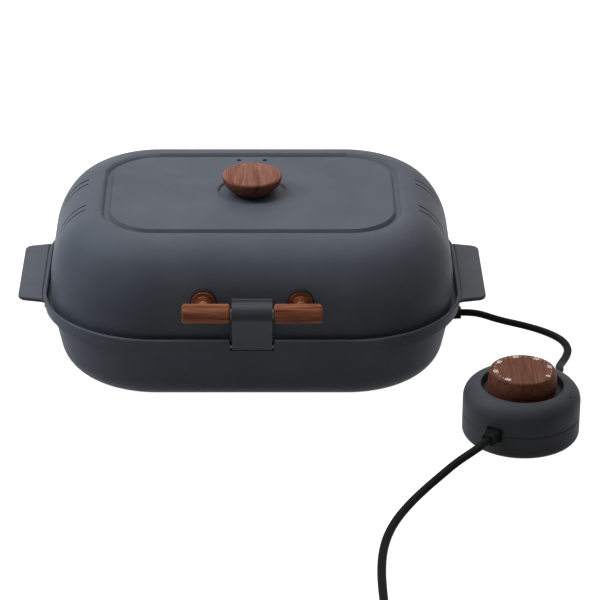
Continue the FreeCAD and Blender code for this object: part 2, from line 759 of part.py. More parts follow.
def channel_tool():
    """What the press takes out of the lid's top: the channel and the slightly sunk panel."""
    floor = LID_TOP_Z - CHANNEL_DEPTH
    over = LID_TOP_Z + CUT_MARGIN
    edge = CHANNEL_CORNER
    profile = section(
        (0, over), (edge, over), (edge, LID_TOP_Z), (edge - CHANNEL_SLOPE, floor),
        (edge - CHANNEL_SLOPE - CHANNEL_FLOOR, floor),
        (edge - CHANNEL_SLOPE - CHANNEL_FLOOR - PANEL_SLOPE, panel_z()), (0, panel_z()),
    )
    return carry_round(profile, CHANNEL_HALF_X, CHANNEL_HALF_Y, CHANNEL_CORNER, (panel_z(), over))


def vent_tools():
    """Eight narrow slots cut down through the lid's shoulders, in pairs."""
    tools = []
    length = VENT_OUTER_X - VENT_INNER_X
    low = LID_TOP_Z - VENT_CUT_DROP
    for side in (-1, 1):
        for pair_y in VENT_PAIR_Y:
            for shift in (-VENT_PAIR_PITCH / 2, VENT_PAIR_PITCH / 2):
                start = side * VENT_INNER_X if side > 0 else -VENT_OUTER_X
                tools.append(block((start, pair_y + shift - VENT_WIDTH / 2, low),
                                   (start + length, pair_y + shift + VENT_WIDTH / 2, LID_TOP_Z)))
    return tools


def dish_z():
    """Level of the knob dish's floor."""
    return panel_z() - DISH_DEPTH


def dish_underside():
    """Level of the lid's underside below the knob dish."""
    return dish_z() - LID_WALL


def channel_backing():
    """Rib inside the lid that backs the channel, open over the panel."""
    low = LID_TOP_Z - CHANNEL_DEPTH - LID_WALL
    high = LID_TOP_Z - LID_WALL / 2
    grow = LID_WALL / 2
    inset = CHANNEL_SLOPE + CHANNEL_FLOOR + PANEL_SLOPE / 2 + LID_WALL
    rib = slab(CHANNEL_HALF_X + grow, CHANNEL_HALF_Y + grow, CHANNEL_CORNER + grow, low, high)
    return rib.cut(slab(CHANNEL_HALF_X - inset, CHANNEL_HALF_Y - inset, CHANNEL_CORNER - inset,
                        low - CUT_MARGIN, high + CUT_MARGIN))


def lid_shell():
    """Domed outer lid with its channel, panel, knob dish, vents and screw holes."""
    boss = rod((0, KNOB_Y, dish_underside()), Z_AXIS, LID_TOP_Z - LID_WALL / 2 - dish_underside(),
               DISH_RADIUS + LID_WALL)
    shell = fuse([lid_dome(), channel_backing(), boss]).cut(channel_tool())
    dish = turned((0, KNOB_Y, 0), (0, dish_z()), (DISH_RADIUS - DISH_SLOPE, dish_z()),
                  (DISH_RADIUS, panel_z()), (DISH_RADIUS, panel_z() + CUT_MARGIN), (0, panel_z() + CUT_MARGIN))
    tools = [dish] + vent_tools()
    low = dish_underside() - CUT_MARGIN
    through = LID_TOP_Z + CUT_MARGIN - low
    tools.append(rod((0, KNOB_Y, low), Z_AXIS, through, SCREW_RADIUS + SLIDE_GAP))
    for x in (SMALL_VENT_X, -SMALL_VENT_X):
        tools.append(rod((x, SMALL_VENT_Y, low), Z_AXIS, through, SMALL_VENT_RADIUS))
    for x in (POST_X, -POST_X):
        tools.append(rod((x, -LID_HALF_Y - CUT_MARGIN, BAR_Z), Y_AXIS, LID_HALF_Y / 4,
                         POST_SCREW_RADIUS + SLIDE_GAP))
    for x in (HINGE_X, -HINGE_X):
        for shift in (-HINGE_LID_WIDTH / 4, HINGE_LID_WIDTH / 4):
            tools.append(rod((x + shift, LID_HALF_Y + CUT_MARGIN, lid_leaf_screw_z()), -Y_AXIS,
                             LID_WALL + 2 * CUT_MARGIN, HINGE_SCREW_RADIUS + SLIDE_GAP))
    return shell.cut(tools)


def knob():
    """Walnut disc: crowned top, soft edge and a side that draws in below."""
    foot_z = dish_z() + NECK_HEIGHT
    top_z = foot_z + KNOB_HEIGHT
    edge = KNOB_EDGE_RADIUS
    widest_z = top_z - KNOB_CROWN - edge
    slant = math.hypot(KNOB_RADIUS - KNOB_FOOT_RADIUS, widest_z - foot_z)
    bow_u = (KNOB_RADIUS + KNOB_FOOT_RADIUS) / 2 + KNOB_SIDE_BOW * (widest_z - foot_z) / slant
    bow_z = (widest_z + foot_z) / 2 - KNOB_SIDE_BOW * (KNOB_RADIUS - KNOB_FOOT_RADIUS) / slant
    side_mid = on_arc(KNOB_RADIUS - edge, widest_z, edge, 45)
    reach = KNOB_RADIUS - edge
    ball = (reach ** 2 + KNOB_CROWN ** 2) / (2 * KNOB_CROWN)
    centre_z = top_z - ball
    rim_angle = 90 - math.degrees(math.asin(reach / ball))
    flat_angle = 90 - math.degrees(math.asin(KNOB_FLAT / ball))
    flat = on_arc(0, centre_z, ball, flat_angle)
    body = turned(
        (0, KNOB_Y, 0),
        (0, foot_z), (KNOB_FOOT_RADIUS, foot_z), (KNOB_RADIUS, widest_z, bow_u, bow_z),
        (reach, top_z - KNOB_CROWN) + side_mid, flat + on_arc(0, centre_z, ball, (rim_angle + flat_angle) / 2),
        (0, flat[1]),
    )
    return body.cut(rod((0, KNOB_Y, foot_z - CUT_MARGIN), Z_AXIS, KNOB_SCREW_DEPTH + CUT_MARGIN,
                        SCREW_RADIUS + SLIDE_GAP))


def knob_neck():
    """Dark collar between the dish and the knob."""
    low = dish_z()
    body = turned((0, KNOB_Y, 0), (SCREW_RADIUS + SLIDE_GAP, low), (NECK_RADIUS, low),
                  (NECK_RADIUS - 1.5, low + NECK_HEIGHT), (SCREW_RADIUS + SLIDE_GAP, low + NECK_HEIGHT))
    return body


def knob_screw():
    """Screw up through the lid and the neck into the knob."""
    low = dish_underside()
    head = rod((0, KNOB_Y, low - SCREW_HEAD_HEIGHT), Z_AXIS, SCREW_HEAD_HEIGHT, SCREW_HEAD_RADIUS)
    length = dish_z() + NECK_HEIGHT + KNOB_SCREW_DEPTH - CUT_MARGIN - low
    return fuse([head, rod((0, KNOB_Y, low), Z_AXIS, length, SCREW_RADIUS)])


# Bar handle

def grip(side):
    """One walnut half of the bar, chamfered at both ends, bored for the rod and the post."""
    inner = BAR_GAP_HALF
    outer = BAR_HALF_LENGTH
    chamfer = BAR_CHAMFER
    hidden = inner + ROD_HIDDEN + SLIDE_GAP
    bore = ROD_RADIUS + SLIDE_GAP
    face = section(
        (inner, bore), (inner, BAR_RADIUS - chamfer), (inner + chamfer, BAR_RADIUS), (outer - chamfer, BAR_RADIUS),
        (outer, BAR_RADIUS - chamfer), (outer, 0), (hidden, 0), (hidden, bore),
    )
    body = face.revolve(Vector(), X_AXIS, 360)
    body.translate(Vector(0, BAR_Y, BAR_Z))
    if side < 0:
        body = mirror_x(body)
    post_end = BAR_Y + BAR_RADIUS - POST_SINK
    neck_hole = rod((side * POST_X, post_end, BAR_Z), Y_AXIS, BAR_RADIUS, POST_NECK_RADIUS + SLIDE_GAP)
    screw_hole = rod((side * POST_X, BAR_Y, BAR_Z), Y_AXIS, BAR_RADIUS, POST_SCREW_RADIUS + SLIDE_GAP)
    return body.cut([neck_hole, screw_hole])


def bar_rod():
    """Steel rod that the latch hooks, gripped inside both walnut halves."""
    length = 2 * (BAR_GAP_HALF + ROD_HIDDEN)
    body = rod((-length / 2, BAR_Y, BAR_Z), X_AXIS, length, ROD_RADIUS)
    for side in (-1, 1):
        body = body.cut(rod((side * POST_X, BAR_Y, BAR_Z), Y_AXIS, ROD_RADIUS * 2, POST_SCREW_RADIUS + SLIDE_GAP))
    return body


def post_seat_y():
    """Where the flat back of a post's washer stands on the dome."""
    return -dome_depth_y(BAR_Z - WASHER_RADIUS)


def post(side):
    """Turned walnut post: stepped rosette, then a neck that sinks into the bar."""
    seat = post_seat_y() - WASHER_THICKNESS
    steps = [(POST_SCREW_RADIUS + SLIDE_GAP, 0)]
    reach = 0
    for radius, height in POST_STEPS:
        steps.append((radius, reach))
        reach += height
        steps.append((radius, reach))
    neck_end = seat - (BAR_Y + BAR_RADIUS - POST_SINK)
    steps += [(POST_NECK_RADIUS, reach), (POST_NECK_RADIUS, neck_end), (POST_SCREW_RADIUS + SLIDE_GAP, neck_end)]
    body = section(*steps).revolve(Vector(), Z_AXIS, 360)
    body.rotate(Vector(), X_AXIS, 90)
    body.translate(Vector(side * POST_X, seat, BAR_Z))
    return body


def post_washer(side):
    """Dark seat behind a post, shaped to the dome at its back."""
    seat = post_seat_y()
    body = rod((side * POST_X, seat - WASHER_THICKNESS, BAR_Z), Y_AXIS, LID_HALF_Y / 8, WASHER_RADIUS)
    body = body.cut(rod((side * POST_X, seat - 2 * CUT_MARGIN, BAR_Z), Y_AXIS, LID_HALF_Y / 4,
                        POST_SCREW_RADIUS + SLIDE_GAP))
    wall, lower_mid, knee, upper_mid, crest = dome_side(0)
    profile = section((0, LID_TOP_Z), crest, knee + upper_mid, wall + lower_mid, (wall[0], LID_BOTTOM_Z),
                      (0, LID_BOTTOM_Z))
    filled = carry_round(profile, LID_HALF_X, LID_HALF_Y, LID_CORNER, (LID_BOTTOM_Z, LID_TOP_Z))
    return body.cut(filled)


def post_screws():
    """Two long screws from inside the lid through the posts into the bar."""
    solids = []
    inside = -dome_depth_y(BAR_Z + SCREW_HEAD_RADIUS) + LID_WALL + CUT_MARGIN
    for side in (-1, 1):
        tip = BAR_Y + ROD_RADIUS / 2
        shank = rod((side * POST_X, tip, BAR_Z), Y_AXIS, inside - tip, POST_SCREW_RADIUS)
        head = rod((side * POST_X, inside, BAR_Z), Y_AXIS, SCREW_HEAD_HEIGHT, SCREW_HEAD_RADIUS)
        solids.append(fuse([shank, head]))
    return Part.makeCompound(solids)


# Latch

def latch_tangent():
    """Unit normal of the latch's front face, which touches barrel and hook."""
    run = Vector(0, BAR_Y - LATCH_PIN_Y, BAR_Z - LATCH_PIN_Z)
    distance = run.Length
    run.normalize()
    outward = Vector(0, -run.z, run.y)
    tilt = math.asin((LATCH_HOOK_RADIUS - LATCH_BARREL_RADIUS) / distance)
    return outward * math.cos(tilt) - run * math.sin(tilt)


def latch_clip():
    """Latch: barrel on the pin, sloping plate, hook over the rod and a raised thumb lip."""
    start = -LATCH_WIDTH / 2
    pin = Vector(start, LATCH_PIN_Y, LATCH_PIN_Z)
    bar = Vector(start, BAR_Y, BAR_Z)
    normal = latch_tangent()
    low = pin + normal * LATCH_BARREL_RADIUS
    high = bar + normal * LATCH_HOOK_RADIUS
    plate_points = (low, high, high - normal * LATCH_PLATE, low - normal * LATCH_PLATE)
    plate = Part.Face(Part.makePolygon(list(plate_points) + [low])).extrude(X_AXIS * LATCH_WIDTH)
    barrel = rod(tuple(pin), X_AXIS, LATCH_WIDTH, LATCH_BARREL_RADIUS)
    hook = rod(tuple(bar), X_AXIS, LATCH_WIDTH, LATCH_HOOK_RADIUS)
    lip_y = BAR_Y + LATCH_HOOK_RADIUS - LATCH_LIP_THICKNESS
    crest = BAR_Z + LATCH_HOOK_RADIUS
    lip = prism_x((
        (BAR_Y, crest - LATCH_PLATE), (BAR_Y + LATCH_HOOK_RADIUS / 4, crest - 0.2),
        (lip_y - 1.2, crest - 0.6), (lip_y, crest + LATCH_LIP_RISE),
        (lip_y + LATCH_LIP_THICKNESS, crest + LATCH_LIP_RISE),
        (lip_y + LATCH_LIP_THICKNESS, crest - LATCH_PLATE),
    ), start, LATCH_WIDTH)
    clip = fuse([plate, barrel, hook, lip])
    clip = clip.cut(rod(tuple(bar - X_AXIS), X_AXIS, LATCH_WIDTH + 2, ROD_RADIUS + LATCH_SWING_GAP))
    return clip.cut([latch_swing_room(), rod(tuple(pin - X_AXIS), X_AXIS, LATCH_WIDTH + 2,
                                             LATCH_PIN_RADIUS + SLIDE_GAP)])


def latch_swing_room():
    """Space behind the hook that the rod crosses when the latch swings open."""
    start = -LATCH_WIDTH / 2 - CUT_MARGIN
    reach = math.hypot(BAR_Y - LATCH_PIN_Y, BAR_Z - LATCH_PIN_Z)
    outer = reach + ROD_RADIUS + LATCH_SWING_GAP
    inner = LATCH_BARREL_RADIUS + LATCH_PLATE
    pin = Vector(start, LATCH_PIN_Y, LATCH_PIN_Z)
    width = LATCH_WIDTH + 2 * CUT_MARGIN
    ring = rod(tuple(pin), X_AXIS, width, outer).cut(rod(tuple(pin), X_AXIS, width, inner))
    run = Vector(0, BAR_Y - LATCH_PIN_Y, BAR_Z - LATCH_PIN_Z)
    run.normalize()
    side = Vector(0, run.z, -run.y)
    base = pin - run * outer
    corners = [base, base + run * (3 * outer), base + run * (3 * outer) + side * (2 * outer),
               base + side * (2 * outer)]
    behind = Part.Face(Part.makePolygon(corners + [base])).extrude(X_AXIS * width)
    return ring.common(behind)


def latch_pin():
    """Steel pin through the rim's ears and the latch's barrel."""
    reach = LATCH_WIDTH / 2 + NOTCH_SIDE_GAP + LATCH_PIN_GRIP
    return rod((-reach, LATCH_PIN_Y, LATCH_PIN_Z), X_AXIS, 2 * reach, LATCH_PIN_RADIUS)


# Rear hinges

def hinge_screw_z():
    """Height of the screws that hold the hinge to the rim."""
    return PAN_TOP_Z + RIM_LEDGE_THICKNESS / 2


def hinge_screw_shifts():
    """Sideways places of the rim's hinge screws."""
    reach = HINGE_LID_WIDTH / 2 + HINGE_SIDE_GAP + HINGE_BASE_WIDTH / 2
    return (-reach, reach)


def lid_leaf_screw_z():
    """Height of the screws that hold the lid's hinge leaf."""
    return HINGE_Z + HINGE_LEAF_HEIGHT - HINGE_ARM_LIFT


def hinge_base(x):
    """Lower hinge leaf: a plate on the back of the rim with two knuckles."""
    inner = HINGE_LID_WIDTH / 2 + HINGE_SIDE_GAP
    outer = inner + HINGE_BASE_WIDTH
    plate = block((x - outer, RIM_HALF_Y, PAN_TOP_Z), (x + outer, RIM_HALF_Y + HINGE_PLATE, RIM_TOP_Z - 2))
    solids = [plate]
    for side in (-1, 1):
        start = x + (inner if side > 0 else -outer)
        solids.append(rod((start, HINGE_Y, HINGE_Z), X_AXIS, HINGE_BASE_WIDTH, HINGE_BARREL_RADIUS))
        solids.append(prism_x((
            (RIM_HALF_Y, PAN_TOP_Z), (RIM_HALF_Y + HINGE_PLATE, PAN_TOP_Z),
            (HINGE_Y + HINGE_BARREL_RADIUS, HINGE_Z), (HINGE_Y, HINGE_Z), (RIM_HALF_Y, RIM_TOP_Z - 2),
        ), start, HINGE_BASE_WIDTH))
    leaf = fuse(solids)
    leaf = leaf.cut(rod((x - outer - CUT_MARGIN, HINGE_Y, HINGE_Z), X_AXIS, 2 * (outer + CUT_MARGIN),
                        HINGE_PIN_RADIUS + SLIDE_GAP))
    for shift in hinge_screw_shifts():
        leaf = leaf.cut(rod((x + shift, RIM_HALF_Y - CUT_MARGIN, hinge_screw_z()), Y_AXIS,
                            4 * HINGE_PLATE, HINGE_SCREW_RADIUS + SLIDE_GAP))
    return leaf


def hinge_lid(x):
    """Upper hinge leaf: a plate on the back of the lid, an arm over the bead and one knuckle."""
    half = HINGE_LID_WIDTH / 2
    low = HINGE_Z + HINGE_BARREL_RADIUS - HINGE_ARM_LIFT
    top = HINGE_Z + HINGE_LEAF_HEIGHT
    plate = block((x - half, LID_HALF_Y, low), (x + half, LID_HALF_Y + HINGE_PLATE, top))
    arm = prism_x((
        (LID_HALF_Y, low), (LID_HALF_Y, low + HINGE_ARM_LIFT), (HINGE_Y, HINGE_Z + HINGE_BARREL_RADIUS),
        (HINGE_Y, HINGE_Z), (HINGE_Y - HINGE_BARREL_RADIUS, HINGE_Z),
    ), x - half, HINGE_LID_WIDTH)
    knuckle = rod((x - half, HINGE_Y, HINGE_Z), X_AXIS, HINGE_LID_WIDTH, HINGE_BARREL_RADIUS)
    leaf = fuse([plate, arm, knuckle])
    leaf = leaf.cut(rod((x - half - CUT_MARGIN, HINGE_Y, HINGE_Z), X_AXIS, HINGE_LID_WIDTH + 2 * CUT_MARGIN,
                        HINGE_PIN_RADIUS + SLIDE_GAP))
    for shift in (-HINGE_LID_WIDTH / 4, HINGE_LID_WIDTH / 4):
        leaf = leaf.cut(rod((x + shift, LID_HALF_Y - CUT_MARGIN, lid_leaf_screw_z()), Y_AXIS,
                            HINGE_PLATE + 2 * CUT_MARGIN, HINGE_SCREW_RADIUS + SLIDE_GAP))
    return leaf


def hinge_pin(x):
    """Pin through the three knuckles of one hinge."""
    reach = HINGE_LID_WIDTH / 2 + HINGE_SIDE_GAP + HINGE_BASE_WIDTH
    return rod((x - reach, HINGE_Y, HINGE_Z), X_AXIS, 2 * reach, HINGE_PIN_RADIUS)


def lid_hinge_screws():
    """Four screws from outside through the lid's hinge leaves."""
    solids = []
    for x in (HINGE_X, -HINGE_X):
        for shift in (-HINGE_LID_WIDTH / 4, HINGE_LID_WIDTH / 4):
            face_y = LID_HALF_Y + HINGE_PLATE
            head = rod((x + shift, face_y, lid_leaf_screw_z()), Y_AXIS, SCREW_HEAD_HEIGHT / 2,
                       SCREW_HEAD_RADIUS)
            shank = rod((x + shift, face_y, lid_leaf_screw_z()), -Y_AXIS, HINGE_PLATE + LID_WALL,
                        HINGE_SCREW_RADIUS)
            solids.append(fuse([head, shank]))
    return Part.makeCompound(solids)


def base_hinge_screws():
    """Four screws through the lower hinge leaves into the rim."""
    solids = []
    for x in (HINGE_X, -HINGE_X):
        for shift in hinge_screw_shifts():
            face_y = RIM_HALF_Y + HINGE_PLATE
            shank = rod((x + shift, face_y, hinge_screw_z()), -Y_AXIS,
                        HINGE_PLATE + RIM_BEAD_WIDTH + CUT_MARGIN, HINGE_SCREW_RADIUS)
            solids.append(shank)
    return Part.makeCompound(solids)


# Roasting plates

def spindle(y, z, grow):
    """Long boat shape that a hollow is pressed from, about an axis along X."""
    arc_radius = ((HOLLOW_SPAN / 2) ** 2 + HOLLOW_RADIUS ** 2) / (2 * HOLLOW_RADIUS)
    centre = HOLLOW_RADIUS - arc_radius
    radius = arc_radius + grow
    half = math.sqrt(radius ** 2 - centre ** 2)
    face = section((-half, 0), (half, 0, 0, centre + radius))
    body = face.revolve(Vector(), X_AXIS, 360)
    body.translate(Vector(0, y, z))
    return body


def plate_slab(low):
    """Flat flange of a roasting plate."""
    inset = RIM_CORNER - PLATE_CORNER
    return slab(RIM_HALF_X - inset, RIM_HALF_Y - inset, PLATE_CORNER, low, low + PLATE_THICKNESS)


def lower_plate_z():
    """Underside of the lower plate's flange, on the rim's ledge."""
    return PAN_TOP_Z + RIM_LEDGE_THICKNESS


def upper_plate_z():
    """Underside of the upper plate's flange."""
    return lower_plate_z() + PLATE_THICKNESS + PLATE_GAP


def roasting_plate(low, upward):
    """Cast plate with two long hollows, below its flange or above it."""
    top = low + PLATE_THICKNESS
    if upward:
        axis_z = low - HOLLOW_AXIS_DROP
        keep = block((-RIM_HALF_X, -RIM_HALF_Y, low + CUT_MARGIN), (RIM_HALF_X, RIM_HALF_Y, LID_TOP_Z))
    else:
        axis_z = top + HOLLOW_AXIS_RISE
        keep = block((-RIM_HALF_X, -RIM_HALF_Y, 0), (RIM_HALF_X, RIM_HALF_Y, top - CUT_MARGIN))
    solids = [plate_slab(low)]
    for y in (HOLLOW_Y, -HOLLOW_Y):
        solids.append(spindle(y, axis_z, HOLLOW_WALL).common(keep))
    plate = fuse(solids)
    return plate.cut([spindle(y, axis_z, 0) for y in (HOLLOW_Y, -HOLLOW_Y)])


# Heating

def heater(level, leg):
    """Bent tubular element round the plate's edge, its two ends turned off at the rear."""
    tip = level + leg
    points = [
        Vector(HEATER_OPEN_HALF, HEATER_HALF_Y, tip), Vector(HEATER_OPEN_HALF, HEATER_HALF_Y, level),
        Vector(HEATER_HALF_X, HEATER_HALF_Y, level), Vector(HEATER_HALF_X, -HEATER_HALF_Y, level),
        Vector(-HEATER_HALF_X, -HEATER_HALF_Y, level), Vector(-HEATER_HALF_X, HEATER_HALF_Y, level),
        Vector(-HEATER_OPEN_HALF, HEATER_HALF_Y, level), Vector(-HEATER_OPEN_HALF, HEATER_HALF_Y, tip),
    ]
    edges = []
    here = points[0]
    for index in range(1, len(points) - 1):
        bend = HEATER_BEND if 1 < index < len(points) - 2 else 2 * HEATER_RADIUS
        corner = points[index]
        back = points[index - 1] - corner
        ahead = points[index + 1] - corner
        back.normalize()
        ahead.normalize()
        middle = back + ahead
        middle.normalize()
        enter = corner + back * bend
        leave = corner + ahead * bend
        edges.append(Part.LineSegment(here, enter).toShape())
        edges.append(Part.Arc(enter, corner + middle * bend * (math.sqrt(2) - 1), leave).toShape())
        here = leave
    edges.append(Part.LineSegment(here, points[-1]).toShape())
    return tube_along(Part.Wire(edges), HEATER_RADIUS)


def tray(floor, upward):
    """Thin reflector tray with flared walls, open above or below."""
    sheet = TRAY_SHEET
    outer = TRAY_CORNER
    if upward:
        profile = section((0, floor), (outer - TRAY_FLARE, floor), (outer, floor + TRAY_WALL),
                          (outer - sheet, floor + TRAY_WALL), (outer - TRAY_FLARE - sheet / 2, floor + sheet),
                          (0, floor + sheet))
        core = (floor, floor + sheet)
    else:
        profile = section((0, floor), (outer - TRAY_FLARE, floor), (outer, floor - TRAY_WALL),
                          (outer - sheet, floor - TRAY_WALL), (outer - TRAY_FLARE - sheet / 2, floor - sheet),
                          (0, floor - sheet))
        core = (floor - sheet, floor)
    return carry_round(profile, TRAY_HALF_X, TRAY_HALF_Y, TRAY_CORNER, core)


def tray_floor_z():
    """Level of the lower tray on the pan's legs."""
    return FOOT_HEIGHT + PAN_WALL + TRAY_LEG_HEIGHT


def thermostat(level, side):
    """Round bimetal switch against a plate, with a flange and two tabs."""
    base = level if side > 0 else level - THERMOSTAT_HEIGHT
    can = rod((0, 0, base), Z_AXIS, THERMOSTAT_HEIGHT, THERMOSTAT_RADIUS)
    tab_low = base + THERMOSTAT_HEIGHT if side > 0 else base - 4
    tabs = [block((x - 0.4, -2.5, tab_low), (x + 0.4, 2.5, tab_low + 4)) for x in (-4, 4)]
    return fuse([can] + tabs)


def fuse_link():
    """Thermal cut-out on a saddle under the lower plate."""
    level = lower_plate_z()
    body = rod((FUSE_X - FUSE_LENGTH / 2, 0, level - FUSE_RADIUS - 1), X_AXIS, FUSE_LENGTH, FUSE_RADIUS)
    saddle = block((FUSE_X - 5, -FUSE_RADIUS - 1, level - FUSE_RADIUS - 1),
                   (FUSE_X + 5, FUSE_RADIUS + 1, level))
    return fuse([body, saddle])


def terminal_block():
    """Ceramic block on the pan's floor, with its two wire holes facing the cord."""
    length, width, height = BLOCK_SIZE
    floor = FOOT_HEIGHT + PAN_WALL
    body = block((BLOCK_X - length / 2, BASE_GLAND_Y - width / 2, floor),
                 (BLOCK_X + length / 2, BASE_GLAND_Y + width / 2, floor + height))
    for side in (-1, 1):
        body = body.cut(rod((BLOCK_X, BASE_GLAND_Y + side * LEAD_SPREAD, floor + height / 2), X_AXIS,
                            length, LEAD_RADIUS + SLIDE_GAP))
    return body


def base_leads():
    """Two insulated leads from the cord's gland to the terminal block."""
    solids = []
    floor = FOOT_HEIGHT + PAN_WALL + BLOCK_SIZE[2] / 2
    start_x = pan_wall_x(BASE_GLAND_Z) - PAN_WALL - GLAND_INNER
    end_x = BLOCK_X + BLOCK_SIZE[0] / 2 - CUT_MARGIN
    middle = (start_x + end_x) / 2
    for side in (-1, 1):
        y_in = BASE_GLAND_Y + side * LEAD_SPREAD / 1.5
        y_out = BASE_GLAND_Y + side * LEAD_SPREAD
        points = [Vector(start_x, y_in, BASE_GLAND_Z), Vector(middle + 2, y_in, BASE_GLAND_Z),
                  Vector(middle - 3, y_out, floor), Vector(end_x, y_out, floor)]
        wire, _ = routed_wire(points)
        solids.append(tube_along(wire, LEAD_RADIUS))
    return Part.makeCompound(solids)


def lid_ring():
    """Angle ring inside the lid's wall that the upper plate is screwed to."""
    outer = LID_CORNER - LID_WALL
    low = upper_plate_z() + PLATE_THICKNESS
    profile = section(
        (outer - RING_LEDGE, low), (outer, low), (outer, low + RING_HEIGHT), (outer - RING_SHEET, low + RING_HEIGHT),
        (outer - RING_SHEET, low + RING_SHEET), (outer - RING_LEDGE, low + RING_SHEET),
    )
    inset = LID_CORNER - outer
    return carry_round(profile, LID_HALF_X - inset, LID_HALF_Y - inset, outer)


# Cords, glands, plug and coil

def gland(reach, shell_inside):
    """Flat strain relief along +X from a wall at x = 0: inner collar, flange and tapered body."""
    neck = block((-shell_inside - GLAND_INNER, -GLAND_WIDTH / 2, -GLAND_HEIGHT / 2),
                 (0, GLAND_WIDTH / 2, GLAND_HEIGHT / 2))
    flange_half_y = GLAND_WIDTH / 2 + GLAND_FLANGE_LAP
    flange_half_z = GLAND_HEIGHT / 2 + GLAND_FLANGE_LAP
    flange = block((0, -flange_half_y, -flange_half_z), (GLAND_FLANGE, flange_half_y, flange_half_z))
    rings = []
    for x, width, height in ((GLAND_FLANGE, GLAND_WIDTH, GLAND_HEIGHT), (reach, GLAND_TIP_WIDTH, GLAND_TIP_HEIGHT)):
        corners = [Vector(x, sy * width / 2, sz * height / 2) for sy, sz in ((-1, -1), (1, -1), (1, 1), (-1, 1))]
        rings.append(Part.makePolygon(corners + corners[:1]))
    body = Part.makeLoft(rings, True, True)
    return fuse([neck, flange, body])


def place(shape, angle, origin):
    """Turn a shape about Z and move it."""
    shape.rotate(Vector(), Z_AXIS, angle)
    shape.translate(Vector(*origin))
    return shape


def base_gland():
    """Strain relief where the cord leaves the pan's right end."""
    return place(gland(BASE_GLAND_REACH, PAN_WALL), 0, (pan_wall_x(BASE_GLAND_Z + GLAND_HEIGHT / 2 + GLAND_FLANGE_LAP),
                                                       BASE_GLAND_Y, BASE_GLAND_Z))


def base_gland_tip():
    """Where the heater cord meets the base's strain relief."""
    wall = pan_wall_x(BASE_GLAND_Z + GLAND_HEIGHT / 2 + GLAND_FLANGE_LAP)
    return Vector(wall + BASE_GLAND_REACH, BASE_GLAND_Y, BASE_GLAND_Z)


def puck_gland_point(angle, ahead):
    """Place on the axis of one of the timer's strain reliefs, ahead of its tip."""
    direction = Vector(math.cos(math.radians(angle)), math.sin(math.radians(angle)), 0)
    return Vector(PUCK_X, PUCK_Y, PUCK_GLAND_Z) + direction * (PUCK_RADIUS + PUCK_GLAND_REACH + ahead)


def route_points(route):
    """Points of a route that is measured from the rim's right end."""
    return [Vector(RIM_HALF_X + x, y, z) for x, y, z in route]


def cord_tube(name, points):
    """Round tube along a free cord's route; prints its bend radii and how its volume checks."""
    wire, radii = routed_wire(points)
    body = tube_along(wire, CORD_DIAMETER / 2)
    expected = math.pi * (CORD_DIAMETER / 2) ** 2 * wire.Length
    print(name, "length", round(wire.Length, 1), "least bend", round(min(radii), 1),
          "bends", [round(radius) for radius in radii], "volume ratio", round(body.Volume / expected, 4))
    return body


def heater_cord():
    """Free cord from the roaster to the timer."""
    tip = base_gland_tip()
    points = [tip, tip + X_AXIS * CORD_LEAD] + route_points(HEATER_ROUTE)
    points += [puck_gland_point(HEATER_GLAND_ANGLE, CORD_LEAD), puck_gland_point(HEATER_GLAND_ANGLE, 0)]
    return cord_tube("heater_cord", points)


def coil_z():
    """Height of the coil's lower layer, which lies on the tie."""
    return CORD_DIAMETER / 2 + TIE_SHEET + 2 * TIE_GAP


def coil_start():
    """First point of the coil, on its outer turn."""
    return Vector(COIL_X + COIL_OUTER, COIL_Y, coil_z())


def mains_cord():
    """Free cord from the timer to the coil."""
    points = [puck_gland_point(MAINS_GLAND_ANGLE, 0), puck_gland_point(MAINS_GLAND_ANGLE, CORD_LEAD)]
    points += route_points(MAINS_ROUTE)
    end = coil_start() + Y_AXIS * CORD_DIAMETER
    points += [end + Y_AXIS * COIL_LEAD, end]
    return cord_tube("mains_cord", points)


def coil_wire():
    """Line of the put-away cord: half turns inwards, one that climbs a layer, and half turns outwards."""
    start = coil_start()
    edges = [Part.LineSegment(start + Vector(0, CORD_DIAMETER, 0), start).toShape()]
    here = start
    side = 1
    for half in range(2 * COIL_HALVES):
        climbs = half == COIL_HALVES
        inset = half if half <= COIL_HALVES else 2 * COIL_HALVES - half
        radius = COIL_OUTER - inset * COIL_PITCH / 2
        rise = COIL_LAYER if climbs else 0
        there = here + Vector(-side * 2 * radius, 0, rise)
        bow = math.hypot(radius, rise / 2)
        middle = (here + there) / 2 + Vector(0, -side * bow, 0)
        edges.append(Part.Arc(here, middle, there).toShape())
        here = there
        side = -side
    leave = here + Vector(0, -side * CORD_DIAMETER, 0)
    edges.append(Part.LineSegment(here, leave).toShape())
    return Part.Wire(edges), leave


def self_gap(wire, radius):
    """Least gap between the turns of a tube, from points along its line."""
    points = wire.discretize(Distance=COIL_SAMPLE)
    apart = int(math.pi * COIL_OUTER / 2 / COIL_SAMPLE)
    least = min(
        first.distanceToPoint(second)
        for index, first in enumerate(points) for second in points[index + apart:]
    )
    return least - 2 * radius


def mains_coil():
    """Put-away length of the mains cord, wound in two layers."""
    wire, _ = coil_wire()
    body = tube_along(wire, CORD_DIAMETER / 2)
    expected = math.pi * (CORD_DIAMETER / 2) ** 2 * wire.Length
    print("mains_coil length", round(wire.Length, 1), "self gap", round(self_gap(wire, CORD_DIAMETER / 2), 2),
          "volume ratio", round(body.Volume / expected, 4))
    return body


def plug_neck_end():
    """Where the cord's tail meets the plug's strain relief."""
    _, leave = coil_wire()
    return Vector(leave.x + TAIL_SHIFT, leave.y - TAIL_REACH, PLUG_HEIGHT / 2)


